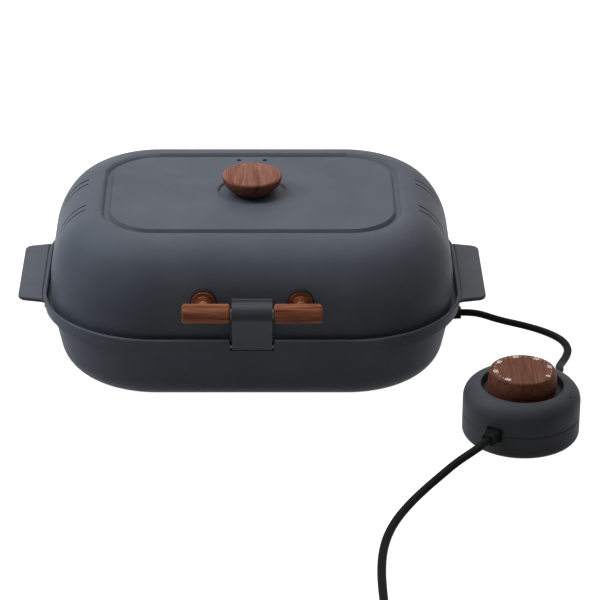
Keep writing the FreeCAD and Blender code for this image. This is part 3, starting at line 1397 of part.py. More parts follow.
def mains_tail():
    """Free cord from the coil's top layer down to the plug."""
    _, leave = coil_wire()
    end = plug_neck_end()
    points = [leave, leave - Y_AXIS * (TAIL_REACH * 0.22),
              Vector((leave.x + end.x) / 2 - TAIL_BOW, leave.y - TAIL_REACH * 0.48, (leave.z + end.z) / 2 + TAIL_BOW),
              end + Y_AXIS * (TAIL_REACH * 0.22), end]
    return cord_tube("mains_tail", points)


def cord_tie():
    """Soft strap round both layers of the coil."""
    inner = COIL_OUTER - COIL_HALVES * COIL_PITCH / 2 - COIL_PITCH / 2 - CORD_DIAMETER / 2 - TIE_GAP
    outer = COIL_OUTER + CORD_DIAMETER / 2 + TIE_GAP
    low = coil_z() - CORD_DIAMETER / 2 - TIE_GAP
    high = coil_z() + COIL_LAYER + CORD_DIAMETER / 2 + TIE_GAP
    middle_y = COIL_Y
    start = COIL_X - outer
    whole = block((start - TIE_SHEET, middle_y - TIE_WIDTH / 2, low - TIE_SHEET),
                  (COIL_X - inner + TIE_SHEET, middle_y + TIE_WIDTH / 2, high + TIE_SHEET))
    hollow = block((start, middle_y - TIE_WIDTH, low), (COIL_X - inner, middle_y + TIE_WIDTH, high))
    return whole.cut(hollow)


def plug_body():
    """Moulded two-blade plug lying on the table, with a tapered neck."""
    end = plug_neck_end()
    neck = []
    for reach, half_x, half_z in ((0, CORD_DIAMETER / 2 + 0.6, CORD_DIAMETER / 2 + 0.6),
                                  (PLUG_NECK, PLUG_WIDTH / 3, PLUG_HEIGHT / 3)):
        corners = [Vector(end.x + sx * half_x, end.y - reach, end.z + sz * half_z)
                   for sx, sz in ((-1, -1), (1, -1), (1, 1), (-1, 1))]
        neck.append(Part.makePolygon(corners + corners[:1]))
    relief = Part.makeLoft(neck, True, True)
    far = end.y - PLUG_NECK - PLUG_LENGTH
    body = block((end.x - PLUG_WIDTH / 2, far, end.z - PLUG_HEIGHT / 2),
                 (end.x + PLUG_WIDTH / 2, end.y - PLUG_NECK, end.z + PLUG_HEIGHT / 2))
    long_edges = [edge for edge in body.Edges if edge.BoundBox.YLength > PLUG_LENGTH / 2]
    body = body.makeFillet(PLUG_ROUND, long_edges)
    plug = fuse([relief, body])
    for side in (-1, 1):
        plug = plug.cut(blade(side, BLADE_BITE, 0, SLIDE_GAP))
    return plug


def blade(side, bite, reach, room):
    """One flat blade of the plug, from inside the plug to its tip."""
    end = plug_neck_end()
    far = end.y - PLUG_NECK - PLUG_LENGTH
    middle = end.x + side * BLADE_PITCH / 2
    return block((middle - BLADE_SHEET / 2 - room, far - reach - room, end.z - BLADE_WIDTH / 2 - room),
                 (middle + BLADE_SHEET / 2 + room, far + bite + room, end.z + BLADE_WIDTH / 2 + room))


def plug_blades():
    """Both blades."""
    return Part.makeCompound([blade(side, BLADE_BITE, BLADE_LENGTH, 0) for side in (-1, 1)])


# Timer puck

def on_ring(radius, degrees):
    """Place on a circle round the timer's axis."""
    angle = math.radians(degrees)
    return PUCK_X + radius * math.cos(angle), PUCK_Y + radius * math.sin(angle)


def puck_ceiling_z():
    """Underside of the upper housing's middle, where the timer hangs."""
    return PUCK_TOP_Z - RECESS_DEPTH - PUCK_WALL


def puck_gland(angle):
    """Strain relief on the timer's side."""
    x, y = on_ring(PUCK_RADIUS, angle)
    return place(gland(PUCK_GLAND_REACH, PUCK_WALL), angle, (x, y, PUCK_GLAND_Z))


def gland_openings():
    """Cutters for the necks of both strain reliefs."""
    tools = []
    for angle in (MAINS_GLAND_ANGLE, HEATER_GLAND_ANGLE):
        tool = block((-PUCK_WALL - GLAND_INNER - CUT_MARGIN, -GLAND_WIDTH / 2 - SLIDE_GAP,
                      -GLAND_HEIGHT / 2 - SLIDE_GAP),
                     (CUT_MARGIN, GLAND_WIDTH / 2 + SLIDE_GAP, GLAND_HEIGHT / 2 + SLIDE_GAP))
        x, y = on_ring(PUCK_RADIUS, angle)
        tools.append(place(tool, angle, (x, y, PUCK_GLAND_Z)))
    return tools


def puck_upper():
    """Upper housing: rounded shoulder, recess for the dial and posts for the screws."""
    seam = PUCK_SEAM_Z
    shoulder_z = PUCK_TOP_Z - PUCK_SHOULDER
    shoulder_u = PUCK_RADIUS - PUCK_SHOULDER
    floor = PUCK_TOP_Z - RECESS_DEPTH
    wall = PUCK_WALL
    bore = SHAFT_RADIUS + DIAL_BORE_GAP
    shell = turned(
        (PUCK_X, PUCK_Y, 0),
        (PUCK_RADIUS - wall, seam), (PUCK_RADIUS - PUCK_SEAM_GROOVE, seam), (PUCK_RADIUS, seam + PUCK_SEAM_GROOVE),
        (PUCK_RADIUS, shoulder_z),
        (shoulder_u, PUCK_TOP_Z) + on_arc(shoulder_u, shoulder_z, PUCK_SHOULDER, 45),
        (RECESS_RADIUS + RECESS_LIP, PUCK_TOP_Z), (RECESS_RADIUS, PUCK_TOP_Z - RECESS_LIP), (RECESS_RADIUS, floor),
        (bore, floor), (bore, floor - wall),
        (RECESS_RADIUS + wall, floor - wall), (PUCK_RADIUS - wall, shoulder_z - wall),
    )
    solids = [shell]
    for angle in PUCK_SCREW_ANGLES:
        x, y = on_ring(PUCK_SCREW_RING, angle)
        solids.append(rod((x, y, seam), Z_AXIS, puck_ceiling_z() - seam + wall / 2, PUCK_POST_RADIUS))
    outline = turned(
        (PUCK_X, PUCK_Y, 0), (0, seam), (PUCK_RADIUS - wall / 2, seam), (PUCK_RADIUS - wall / 2, shoulder_z),
        (shoulder_u, PUCK_TOP_Z - wall / 2) + on_arc(shoulder_u, shoulder_z, PUCK_SHOULDER - wall / 2, 45),
        (0, PUCK_TOP_Z - wall / 2),
    )
    solids[1:] = [post_solid.common(outline) for post_solid in solids[1:]]
    body = fuse(solids)
    index_x, index_y = on_ring(INDEX_RING, INDEX_ANGLE)
    drop = math.sqrt(PUCK_SHOULDER ** 2 - (INDEX_RING - shoulder_u) ** 2)
    tools = [rod((index_x, index_y, shoulder_z + drop - INDEX_DEPTH), Z_AXIS, PUCK_SHOULDER, INDEX_RADIUS)]
    for angle in PUCK_SCREW_ANGLES:
        x, y = on_ring(PUCK_SCREW_RING, angle)
        tools.append(rod((x, y, seam - CUT_MARGIN), Z_AXIS,
                         PUCK_FOOT_HEIGHT + PUCK_SCREW_LENGTH - seam + 2 * CUT_MARGIN, SCREW_RADIUS + SLIDE_GAP))
    return body.cut(tools + gland_openings())


def puck_lower():
    """Lower housing: rounded bottom, screw posts and side openings for both strain reliefs."""
    low = PUCK_FOOT_HEIGHT
    radius = PUCK_BOTTOM_RADIUS
    wall = PUCK_WALL
    centre_u = PUCK_RADIUS - radius
    shell = turned(
        (PUCK_X, PUCK_Y, 0),
        (0, low), (centre_u, low), (PUCK_RADIUS, low + radius) + on_arc(centre_u, low + radius, radius, -45),
        (PUCK_RADIUS, PUCK_SEAM_Z - PUCK_SEAM_GROOVE), (PUCK_RADIUS - PUCK_SEAM_GROOVE, PUCK_SEAM_Z),
        (PUCK_RADIUS - wall, PUCK_SEAM_Z), (PUCK_RADIUS - wall, low + radius),
        (centre_u, low + wall) + on_arc(centre_u, low + radius, radius - wall, -45), (0, low + wall),
    )
    solids = [shell]
    tools = gland_openings()
    for angle in PUCK_SCREW_ANGLES:
        x, y = on_ring(PUCK_SCREW_RING, angle)
        solids.append(rod((x, y, low + wall / 2), Z_AXIS, PUCK_SEAM_Z - low - wall / 2, PUCK_POST_RADIUS))
        tools.append(rod((x, y, low - CUT_MARGIN), Z_AXIS, PUCK_SEAM_Z, SCREW_RADIUS + SLIDE_GAP))
        tools.append(rod((x, y, low - CUT_MARGIN), Z_AXIS, CUT_MARGIN + SCREW_HEAD_HEIGHT,
                         SCREW_HEAD_RADIUS + SLIDE_GAP))
    return fuse(solids).cut(tools)


def puck_screws():
    """Four screws from below that hold the housings together."""
    solids = []
    for angle in PUCK_SCREW_ANGLES:
        x, y = on_ring(PUCK_SCREW_RING, angle)
        head = rod((x, y, PUCK_FOOT_HEIGHT), Z_AXIS, SCREW_HEAD_HEIGHT, SCREW_HEAD_RADIUS)
        shank = rod((x, y, PUCK_FOOT_HEIGHT), Z_AXIS, PUCK_SCREW_LENGTH, SCREW_RADIUS)
        solids.append(fuse([head, shank]))
    return Part.makeCompound(solids)


def puck_feet():
    """Four rubber pads under the timer."""
    solids = []
    for angle in PUCK_SCREW_ANGLES:
        x, y = on_ring(PUCK_FOOT_RING - PUCK_FOOT_RADIUS, angle + 45)
        solids.append(turned((x, y, 0), (0, 0), (PUCK_FOOT_RADIUS - 0.5, 0), (PUCK_FOOT_RADIUS, PUCK_FOOT_HEIGHT),
                             (0, PUCK_FOOT_HEIGHT)))
    return Part.makeCompound(solids)


def dial():
    """Walnut timer knob: slightly barrelled side, soft top edge, a socket below for the hub."""
    low = PUCK_TOP_Z - RECESS_DEPTH + DIAL_FLOOR_GAP
    edge = DIAL_EDGE_RADIUS
    side_mid = on_arc(DIAL_TOP_RADIUS - edge, DIAL_TOP_Z - edge, edge, 45)
    socket = DIAL_HUB_RADIUS + SLIDE_GAP
    return turned(
        (PUCK_X, PUCK_Y, 0),
        (socket, low), (DIAL_RADIUS - 1, low), (DIAL_RADIUS, (low + DIAL_TOP_Z) / 2),
        (DIAL_TOP_RADIUS, DIAL_TOP_Z - edge), (DIAL_TOP_RADIUS - edge, DIAL_TOP_Z) + side_mid,
        (0, DIAL_TOP_Z), (0, low + DIAL_HUB_DEPTH), (socket, low + DIAL_HUB_DEPTH),
    )


def d_bar(low, high, room):
    """Bar with one flat along it, the shaft's drive end."""
    radius = SHAFT_RADIUS + room
    body = rod((PUCK_X, PUCK_Y, low), Z_AXIS, high - low, radius)
    flat = SHAFT_RADIUS - SHAFT_FLAT + room
    return body.cut(block((PUCK_X + flat, PUCK_Y - 2 * radius, low - CUT_MARGIN),
                          (PUCK_X + 2 * radius, PUCK_Y + 2 * radius, high + CUT_MARGIN)))


def dial_hub():
    """Hub in the dial's socket, with the bore that the shaft drives."""
    low = PUCK_TOP_Z - RECESS_DEPTH + DIAL_FLOOR_GAP
    body = rod((PUCK_X, PUCK_Y, low), Z_AXIS, DIAL_HUB_DEPTH, DIAL_HUB_RADIUS)
    return body.cut(d_bar(low - CUT_MARGIN, low + DIAL_HUB_DEPTH - CUT_MARGIN, SLIDE_GAP))


def timer_shaft():
    """Shaft of the timer: round below, one flat where it drives the hub."""
    low = puck_ceiling_z() - SHAFT_INSIDE
    drive = PUCK_TOP_Z - RECESS_DEPTH + DIAL_FLOOR_GAP
    top = drive + DIAL_HUB_DEPTH - 2 * CUT_MARGIN
    return fuse([rod((PUCK_X, PUCK_Y, low), Z_AXIS, drive - low, SHAFT_RADIUS), d_bar(drive, top, 0)])


def timer_module():
    """Clockwork timer under the recess, with its bushing bore and two side tabs."""
    length, width, height = TIMER_SIZE
    top = puck_ceiling_z()
    body = block((PUCK_X - length / 2, PUCK_Y - width / 2, top - height),
                 (PUCK_X + length / 2, PUCK_Y + width / 2, top))
    half = TIMER_TAB_HALF
    sheet = TIMER_TAB_SHEET / 2
    tabs = [block((PUCK_X + shift - half, PUCK_Y - sheet, top - height - TIMER_TAB_DROP),
                  (PUCK_X + shift + half, PUCK_Y + sheet, top - height)) for shift in (-TIMER_TAB_X, TIMER_TAB_X)]
    body = fuse([body] + tabs)
    return body.cut(rod((PUCK_X, PUCK_Y, top - SHAFT_INSIDE - SLIDE_GAP), Z_AXIS, SHAFT_INSIDE + CUT_MARGIN,
                        SHAFT_RADIUS + SLIDE_GAP))


def puck_block():
    """Terminal block on the timer's floor."""
    length, width, height = PUCK_BLOCK_SIZE
    floor = PUCK_FOOT_HEIGHT + PUCK_WALL
    body = block((PUCK_X - length / 2, PUCK_Y - width / 2, floor),
                 (PUCK_X + length / 2, PUCK_Y + width / 2, floor + height))
    for shift in (-length / 4, length / 4):
        body = body.cut(rod((PUCK_X + shift, PUCK_Y - width, floor + height / 2), Y_AXIS, 2 * width,
                            LEAD_RADIUS))
    return body


def upper_reflector():
    """Upper tray on four spacers under the lid."""
    solids = [tray(UPPER_TRAY_Z, False)]
    for x, y in corners_of(TRAY_LEG_X, TRAY_LEG_Y):
        solids.append(rod((x, y, UPPER_TRAY_Z - TRAY_SHEET / 2), Z_AXIS,
                          LID_TOP_Z - LID_WALL - UPPER_TRAY_Z + TRAY_SHEET / 2, TRAY_LEG_RADIUS))
    return fuse(solids)


def ring_screw_places():
    """Places of the screws that hold the upper plate to the lid's ring."""
    diagonal = (LID_CORNER - LID_WALL - RING_SCREW_INSET) / math.sqrt(2)
    return corners_of(LID_HALF_X - LID_CORNER + diagonal, LID_HALF_Y - LID_CORNER + diagonal)


def plate_screws(low, under):
    """Screws up through a plate's flange; their heads are under it."""
    solids = []
    for x, y in ring_screw_places():
        head = rod((x, y, low - SCREW_HEAD_HEIGHT), Z_AXIS, SCREW_HEAD_HEIGHT, SCREW_HEAD_RADIUS)
        shank = rod((x, y, low), Z_AXIS, under, SCREW_RADIUS)
        solids.append(fuse([head, shank]))
    return Part.makeCompound(solids)


def bored(shape, low, high):
    """A plate or ring with the four screw holes."""
    tools = [rod((x, y, low), Z_AXIS, high - low, SCREW_RADIUS + SLIDE_GAP) for x, y in ring_screw_places()]
    return shape.cut(tools)


# All sub-parts, in one place

def sub_parts():
    """Names and shapes of every sub-part."""
    upper_low = upper_plate_z()
    ring_low = upper_low + PLATE_THICKNESS
    lower_low = lower_plate_z()
    parts = {
        "base_pan": base_pan(),
        "rim_frame": rim_frame(),
        "base_screws": rim_screws(),
        "lower_plate": bored(roasting_plate(lower_low, False), lower_low - CUT_MARGIN,
                             lower_low + PLATE_THICKNESS + CUT_MARGIN),
        "lower_heater": heater(lower_low - HEATER_RADIUS - HEATER_GAP, -HEATER_LEG),
        "lower_reflector": tray(tray_floor_z(), True),
        "base_thermostat": thermostat(lower_low, -1),
        "thermal_fuse": fuse_link(),
        "base_terminal_block": terminal_block(),
        "base_wiring": base_leads(),
        "base_gland": base_gland(),
        "lid_shell": lid_shell(),
        "lid_ring": bored(lid_ring(), ring_low - CUT_MARGIN, ring_low + RING_SHEET + CUT_MARGIN),
        "lid_plate_screws": plate_screws(upper_low, PLATE_THICKNESS + RING_SHEET),
        "upper_plate": bored(roasting_plate(upper_low, True), upper_low - CUT_MARGIN, ring_low + CUT_MARGIN),
        "upper_heater": heater(ring_low + HEATER_RADIUS + HEATER_GAP, HEATER_LEG),
        "upper_reflector": upper_reflector(),
        "top_knob": knob(),
        "knob_neck": knob_neck(),
        "knob_screw": knob_screw(),
        "handle_grip_left": grip(-1),
        "handle_grip_right": grip(1),
        "handle_rod": bar_rod(),
        "handle_post_left": post(-1),
        "handle_post_right": post(1),
        "post_washer_left": post_washer(-1),
        "post_washer_right": post_washer(1),
        "post_screws": post_screws(),
        "latch_clip": latch_clip(),
        "latch_pin": latch_pin(),
        "hinge_base_left": hinge_base(-HINGE_X),
        "hinge_base_right": hinge_base(HINGE_X),
        "hinge_lid_left": hinge_lid(-HINGE_X),
        "hinge_lid_right": hinge_lid(HINGE_X),
        "hinge_pin_left": hinge_pin(-HINGE_X),
        "hinge_pin_right": hinge_pin(HINGE_X),
        "lid_hinge_screws": lid_hinge_screws(),
        "base_hinge_screws": base_hinge_screws(),
        "puck_upper_housing": puck_upper(),
        "puck_lower_housing": puck_lower(),
        "puck_screws": puck_screws(),
        "puck_feet": puck_feet(),
        "puck_gland_mains": puck_gland(MAINS_GLAND_ANGLE),
        "puck_gland_heater": puck_gland(HEATER_GLAND_ANGLE),
        "puck_terminal_block": puck_block(),
        "timer_module": timer_module(),
        "timer_shaft": timer_shaft(),
        "dial_hub": dial_hub(),
        "timer_dial": dial(),
        "heater_cord": heater_cord(),
        "mains_cord": mains_cord(),
        "mains_coil": mains_coil(),
        "mains_tail": mains_tail(),
        "cord_tie": cord_tie(),
        "plug_body": plug_body(),
        "plug_blades": plug_blades(),
    }
    feet = {"front_left": (-1, -1), "front_right": (1, -1), "rear_left": (-1, 1), "rear_right": (1, 1)}
    for name, (side_x, side_y) in feet.items():
        parts["foot_" + name] = foot(side_x * FOOT_X, side_y * FOOT_Y)
    return parts


def frame_shift():
    """Move from the pan's middle to the middle of the outline, from the latch to the hinges."""
    front = BAR_Y - LATCH_HOOK_RADIUS
    rear = HINGE_Y + HINGE_BARREL_RADIUS
    return Vector(0, -(front + rear) / 2, 0)


def write_parts():
    """Write one STEP file per sub-part and print what each holds."""
    os.makedirs("parts", exist_ok=True)
    for name, shape in sub_parts().items():
        shape.translate(frame_shift())
        shape.exportStep(os.path.join("parts", name + ".step"))
        box = shape.BoundBox
        print(name, "solids", len(shape.Solids), "valid", shape.isValid(), "volume", round(shape.Volume),
              "z", round(box.ZMin, 2), round(box.ZMax, 2))


write_parts()
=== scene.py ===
"""Dresses the roaster: charcoal shells, walnut handles, a timer on its flat cord and what is inside."""

import json
import logging
import math
from dataclasses import dataclass, field
from enum import Enum
from typing import Iterable, Sequence

import bmesh
import bpy
from mathutils import Matrix, Vector


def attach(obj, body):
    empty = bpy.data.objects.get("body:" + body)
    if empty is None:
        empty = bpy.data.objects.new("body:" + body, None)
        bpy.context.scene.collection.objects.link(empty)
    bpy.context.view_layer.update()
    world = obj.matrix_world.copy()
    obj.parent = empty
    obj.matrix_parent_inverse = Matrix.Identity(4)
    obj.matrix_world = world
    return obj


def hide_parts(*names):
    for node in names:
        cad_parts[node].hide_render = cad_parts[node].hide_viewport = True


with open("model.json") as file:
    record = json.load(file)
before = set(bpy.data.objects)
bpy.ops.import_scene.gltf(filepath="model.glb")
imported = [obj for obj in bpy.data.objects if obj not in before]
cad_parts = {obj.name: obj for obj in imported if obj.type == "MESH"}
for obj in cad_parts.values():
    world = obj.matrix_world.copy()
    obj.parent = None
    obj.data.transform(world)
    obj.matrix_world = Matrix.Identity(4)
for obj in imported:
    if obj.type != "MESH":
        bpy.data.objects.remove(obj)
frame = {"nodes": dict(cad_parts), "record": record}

log = logging.getLogger("roaster")

MM = 0.001
# The frame's origin lies under the middle of the roaster's outline, and the sizes below are written about
# the middle of its rim. This is the way in millimetres from one to the other, along Y.
OUTLINE_SHIFT = 6.05
Point = tuple[float, float, float]
Pair = tuple[float, float]
Color = tuple[float, float, float]


class Grain(Enum):
    """Way that the fibres of a walnut piece run."""

    ALONG_X = (0.0, 0.0, 0.0)
    ALONG_Y = (0.0, 0.0, math.pi / 2)


class Body(Enum):
    """Moving body that a piece rides on."""

    BASE = "base"
    LID = "lid"
    LATCH = "latch"
    DIAL = "dial"


# Materials

class Nodes:
    """Node tree with short calls that add and join its nodes."""

    def __init__(self, tree: bpy.types.NodeTree, output_kind: str) -> None:
        """Empties the tree and adds its output.

        Args:
            tree: The tree.
            output_kind: Type of the output node.
        """
        self.tree = tree
        self.tree.nodes.clear()
        self.output = self.node(output_kind)

    def node(self, kind: str, **settings: object) -> bpy.types.Node:
        """Adds one node.

        Args:
            kind: Node type.
            settings: Properties of the node.

        Returns:
            The node.
        """
        made = self.tree.nodes.new(kind)
        for key, value in settings.items():
            setattr(made, key, value)
        return made

    def join(self, source: bpy.types.NodeSocket, target: bpy.types.NodeSocket) -> None:
        """Links two sockets."""
        self.tree.links.new(source, target)

    def shown_rays(self) -> bpy.types.NodeSocket:
        """Tells rays that the camera, a mirror or glass sees from those that light the object.

        Returns:
            One for the first, none for the second.
        """
        path = self.node("ShaderNodeLightPath")
        shown = path.outputs["Is Camera Ray"]
        for kind in ("Is Transmission Ray", "Is Glossy Ray"):
            most = self.node("ShaderNodeMath", operation="MAXIMUM")
            self.join(shown, most.inputs[0])
            self.join(path.outputs[kind], most.inputs[1])
            shown = most.outputs[0]
        return shown


class Shader(Nodes):
    """Node tree of one material."""

    def __init__(self, name: str) -> None:
        """Starts a material with an empty tree.

        Args:
            name: Name of the material.
        """
        self.material = bpy.data.materials.new(name)
        self.material.use_nodes = True
        super().__init__(self.material.node_tree, "ShaderNodeOutputMaterial")

    def place(self, scale: Point = (1, 1, 1), turn: Point = (0, 0, 0)) -> bpy.types.NodeSocket:
        """Object coordinates, turned and then stretched.

        Args:
            scale: Scale along each axis.
            turn: Rotation in radians.

        Returns:
            The vector.
        """
        where = self.node("ShaderNodeTexCoord")
        turned = self.node("ShaderNodeMapping")
        turned.inputs["Rotation"].default_value = turn
        stretched = self.node("ShaderNodeMapping")
        stretched.inputs["Scale"].default_value = scale
        self.join(where.outputs["Object"], turned.inputs["Vector"])
        self.join(turned.outputs["Vector"], stretched.inputs["Vector"])
        return stretched.outputs["Vector"]

    def noise(self, vector: bpy.types.NodeSocket, scale: float, detail: float = 3.0, rough: float = 0.55,
              distortion: float = 0.0) -> bpy.types.NodeSocket:
        """Noise pattern.

        Args:
            vector: Coordinates.
            scale: Size of the pattern.
            detail: Octaves.
            rough: Weight of the finer octaves.
            distortion: Warping.

        Returns:
            The factor.
        """
        made = self.node("ShaderNodeTexNoise")
        made.inputs["Scale"].default_value = scale
        made.inputs["Detail"].default_value = detail
        made.inputs["Roughness"].default_value = rough
        made.inputs["Distortion"].default_value = distortion
        self.join(vector, made.inputs["Vector"])
        return made.outputs["Fac"]

    def ramp(self, factor: bpy.types.NodeSocket,
             stops: Sequence[tuple[float, Color]]) -> bpy.types.NodeSocket:
        """Colours along a factor.

        Args:
            factor: Value from 0 to 1.
            stops: Places and their colours.

        Returns:
            The colour.
        """
        made = self.node("ShaderNodeValToRGB")
        elements = made.color_ramp.elements
        while len(elements) < len(stops):
            elements.new(0.5)
        for element, (at, color) in zip(elements, stops):
            element.position = at
            element.color = (*color, 1.0)
        self.join(factor, made.inputs["Fac"])
        return made.outputs["Color"]

    def span(self, factor: bpy.types.NodeSocket, low: float, high: float, start: float = 0.0,
             end: float = 1.0) -> bpy.types.NodeSocket:
        """Maps a factor from one range to another.

        Args:
            factor: Value.
            low: Result at the start.
            high: Result at the end.
            start: Value that gives low.
            end: Value that gives high.

        Returns:
            The mapped value.
        """
        made = self.node("ShaderNodeMapRange")
        for name, value in (("From Min", start), ("From Max", end), ("To Min", low), ("To Max", high)):
            made.inputs[name].default_value = value
        self.join(factor, made.inputs["Value"])
        return made.outputs["Result"]

    def mix(self, factor: object, first: object, second: object) -> bpy.types.NodeSocket:
        """Mixes two colours.

        Args:
            factor: Socket or number.
            first: Socket or colour.
            second: Socket or colour.

        Returns:
            The colour.
        """
        made = self.node("ShaderNodeMix", data_type="RGBA")
        pairs = ((factor, made.inputs[0]), (first, made.inputs[6]), (second, made.inputs[7]))
        for value, socket in pairs:
            if isinstance(value, bpy.types.NodeSocket):
                self.join(value, socket)
            elif isinstance(value, tuple):
                socket.default_value = (*value, 1.0)
            else:
                socket.default_value = value
        return made.outputs[2]

    def bump(self, height: bpy.types.NodeSocket, strength: float, depth: float) -> bpy.types.NodeSocket:
        """Surface relief.

        Args:
            height: Height pattern.
            strength: Share of the relief.
            depth: Depth in metres.

        Returns:
            The normal.
        """
        made = self.node("ShaderNodeBump")
        made.inputs["Strength"].default_value = strength
        made.inputs["Distance"].default_value = depth
        self.join(height, made.inputs["Height"])
        return made.outputs["Normal"]

    def surface(self, color: object, rough: object, normal: bpy.types.NodeSocket | None = None,
                **sockets: float) -> bpy.types.Material:
        """Closes the tree with a principled shader.

        Args:
            color: Socket or colour.
            rough: Socket or number.
            normal: Relief.
            sockets: Further values of the shader, with _ for a space.

        Returns:
            The material.
        """
        shader = self.node("ShaderNodeBsdfPrincipled")
        for value, name in ((color, "Base Color"), (rough, "Roughness")):
            if isinstance(value, bpy.types.NodeSocket):
                self.join(value, shader.inputs[name])
            elif isinstance(value, tuple):
                shader.inputs[name].default_value = (*value, 1.0)
            else:
                shader.inputs[name].default_value = value
        for name, value in sockets.items():
            shader.inputs[name.replace("_", " ")].default_value = value
        if normal is not None:
            self.join(normal, shader.inputs["Normal"])
        self.join(shader.outputs["BSDF"], self.output.inputs["Surface"])
        return self.material


@dataclass(frozen=True)
class Charcoal:
    """Matt charcoal skin of the plastic shells and of the latch's enamel: fine pebbles, faintly cloudy."""

    name: str = "charcoal_shell"
    color: Color = (0.072, 0.077, 0.093)
    spread: float = 0.10
    rough: float = 0.52
    gloss: float = 0.07
    cloud: float = 22.0
    smudge: float = 60.0
    grain: float = 1500.0
    relief: float = 0.00004

    def build(self) -> bpy.types.Material:
        """Builds the material.

        Returns:
            The material.
        """
        made = Shader(self.name)
        cloud = made.noise(made.place(), self.cloud, 3.0)
        low = tuple(part * (1 - self.spread) for part in self.color)
        high = tuple(part * (1 + self.spread) for part in self.color)
        color = made.ramp(cloud, ((0.3, low), (0.7, high)))
        pebble = made.noise(made.place(), self.grain, 2.0)
        rough = made.span(made.noise(made.place(), self.smudge, 4.0), self.rough - 0.04, self.rough + 0.05)
        normal = made.bump(pebble, 0.5, self.relief)
        return made.surface(color, rough, normal, Specular_IOR_Level=self.gloss)


@dataclass(frozen=True)
class Walnut:
    """Oiled walnut: brown bands along the fibres with fine dark pores."""

    name: str
    grain: Grain
    light: Color = (0.320, 0.115, 0.058)
    middle: Color = (0.215, 0.071, 0.034)
    dark: Color = (0.075, 0.021, 0.010)
    gloss: float = 0.05
    bands: Point = (9, 150, 150)
    fibres: Point = (30, 900, 900)
    pores: Point = (75, 2600, 2600)
    pore_depth: float = 0.00012

    def build(self) -> bpy.types.Material:
        """Builds the material.

        Returns:
            The material.
        """
        made = Shader(self.name)
        turn = self.grain.value
        wide = made.noise(made.place(self.bands, turn), 1.0, 4.0, 0.6, 1.6)
        fine = made.noise(made.place(self.fibres, turn), 1.0, 3.0, 0.6)
        pores = made.noise(made.place(self.pores, turn), 1.0, 1.0, 0.5)
        bands = made.ramp(wide, ((0.30, self.dark), (0.46, self.middle), (0.60, self.light),
                                 (0.76, self.middle)))
        streaks = made.mix(made.span(fine, 0.0, 0.45, 0.35, 0.75), bands, self.dark)
        pore = made.span(pores, 0.0, 0.6, 0.62, 0.72)
        color = made.mix(pore, streaks, tuple(part * 0.6 for part in self.dark))
        normal = made.bump(made.span(pores, 1.0, 0.0, 0.58, 0.72), 0.55, self.pore_depth)
        rough = made.span(fine, 0.42, 0.60)
        return made.surface(color, rough, normal, Specular_IOR_Level=self.gloss)


@dataclass(frozen=True)
class Moulded:
    """Moulded plastic or rubber with a fine spark-eroded skin."""

    name: str
    color: Color
    rough: float = 0.5
    grain: float = 1900.0
    relief: float = 0.00003
    gloss: float = 0.07
    cloud: float = 45.0

    def build(self) -> bpy.types.Material:
        """Builds the material.

        Returns:
            The material.
        """
        made = Shader(self.name)
        skin = made.noise(made.place(), self.grain, 2.0)
        shade = made.noise(made.place(), self.cloud, 3.0)
        color = made.ramp(shade, ((0.3, tuple(part * 0.9 for part in self.color)),
                                  (0.7, tuple(part * 1.1 for part in self.color))))
        rough = made.span(skin, self.rough - 0.05, self.rough + 0.05)
        return made.surface(color, rough, made.bump(skin, 0.5, self.relief), Specular_IOR_Level=self.gloss)


@dataclass(frozen=True)
class Metal:
    """Bare metal with fine marks along one axis."""

    name: str
    color: Color
    rough: float
    marks: Point = (60.0, 2400.0, 2400.0)
    stains: float = 35.0
    relief: float = 0.00002

    def build(self) -> bpy.types.Material:
        """Builds the material.

        Returns:
            The material.
        """
        made = Shader(self.name)
        lines = made.noise(made.place(self.marks), 1.0, 2.0)
        stain = made.noise(made.place(), self.stains, 4.0)
        color = made.ramp(stain, ((0.3, tuple(part * 0.82 for part in self.color)), (0.7, self.color)))
        rough = made.span(lines, self.rough - 0.06, self.rough + 0.08)
        return made.surface(color, rough, made.bump(lines, 0.3, self.relief), Metallic=1.0)


# Mesh helpers

def to_object(mesh: bmesh.types.BMesh, name: str, smooth_deg: float = 35.0) -> bpy.types.Object:
    """Turns a bmesh into a shown object with smooth faces and sharp edges.

    Args:
        mesh: The bmesh, freed here.
        name: Name of the piece.
        smooth_deg: Edges above this angle stay sharp.

    Returns:
        The object.
    """
    data = bpy.data.meshes.new(name)
    mesh.to_mesh(data)
    mesh.free()
    data.shade_smooth()
    data.set_sharp_from_angle(angle=math.radians(smooth_deg))
    made = bpy.data.objects.new(name, data)
    bpy.context.scene.collection.objects.link(made)
    return made


def dress(piece: bpy.types.Object, material: bpy.types.Material, body: Body,
          nodes: Sequence[str] = ()) -> None:
    """Gives a piece its material, its body and the nodes it stands for.

    Args:
        piece: The piece.
        material: Its finish.
        body: Body it rides on.
        nodes: Nodes it replaces.
    """
    piece.data.materials.clear()
    piece.data.materials.append(material)
    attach(piece, body.value)
    if nodes:
        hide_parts(*nodes)
    log.info("%s on %s", piece.name, body.value)


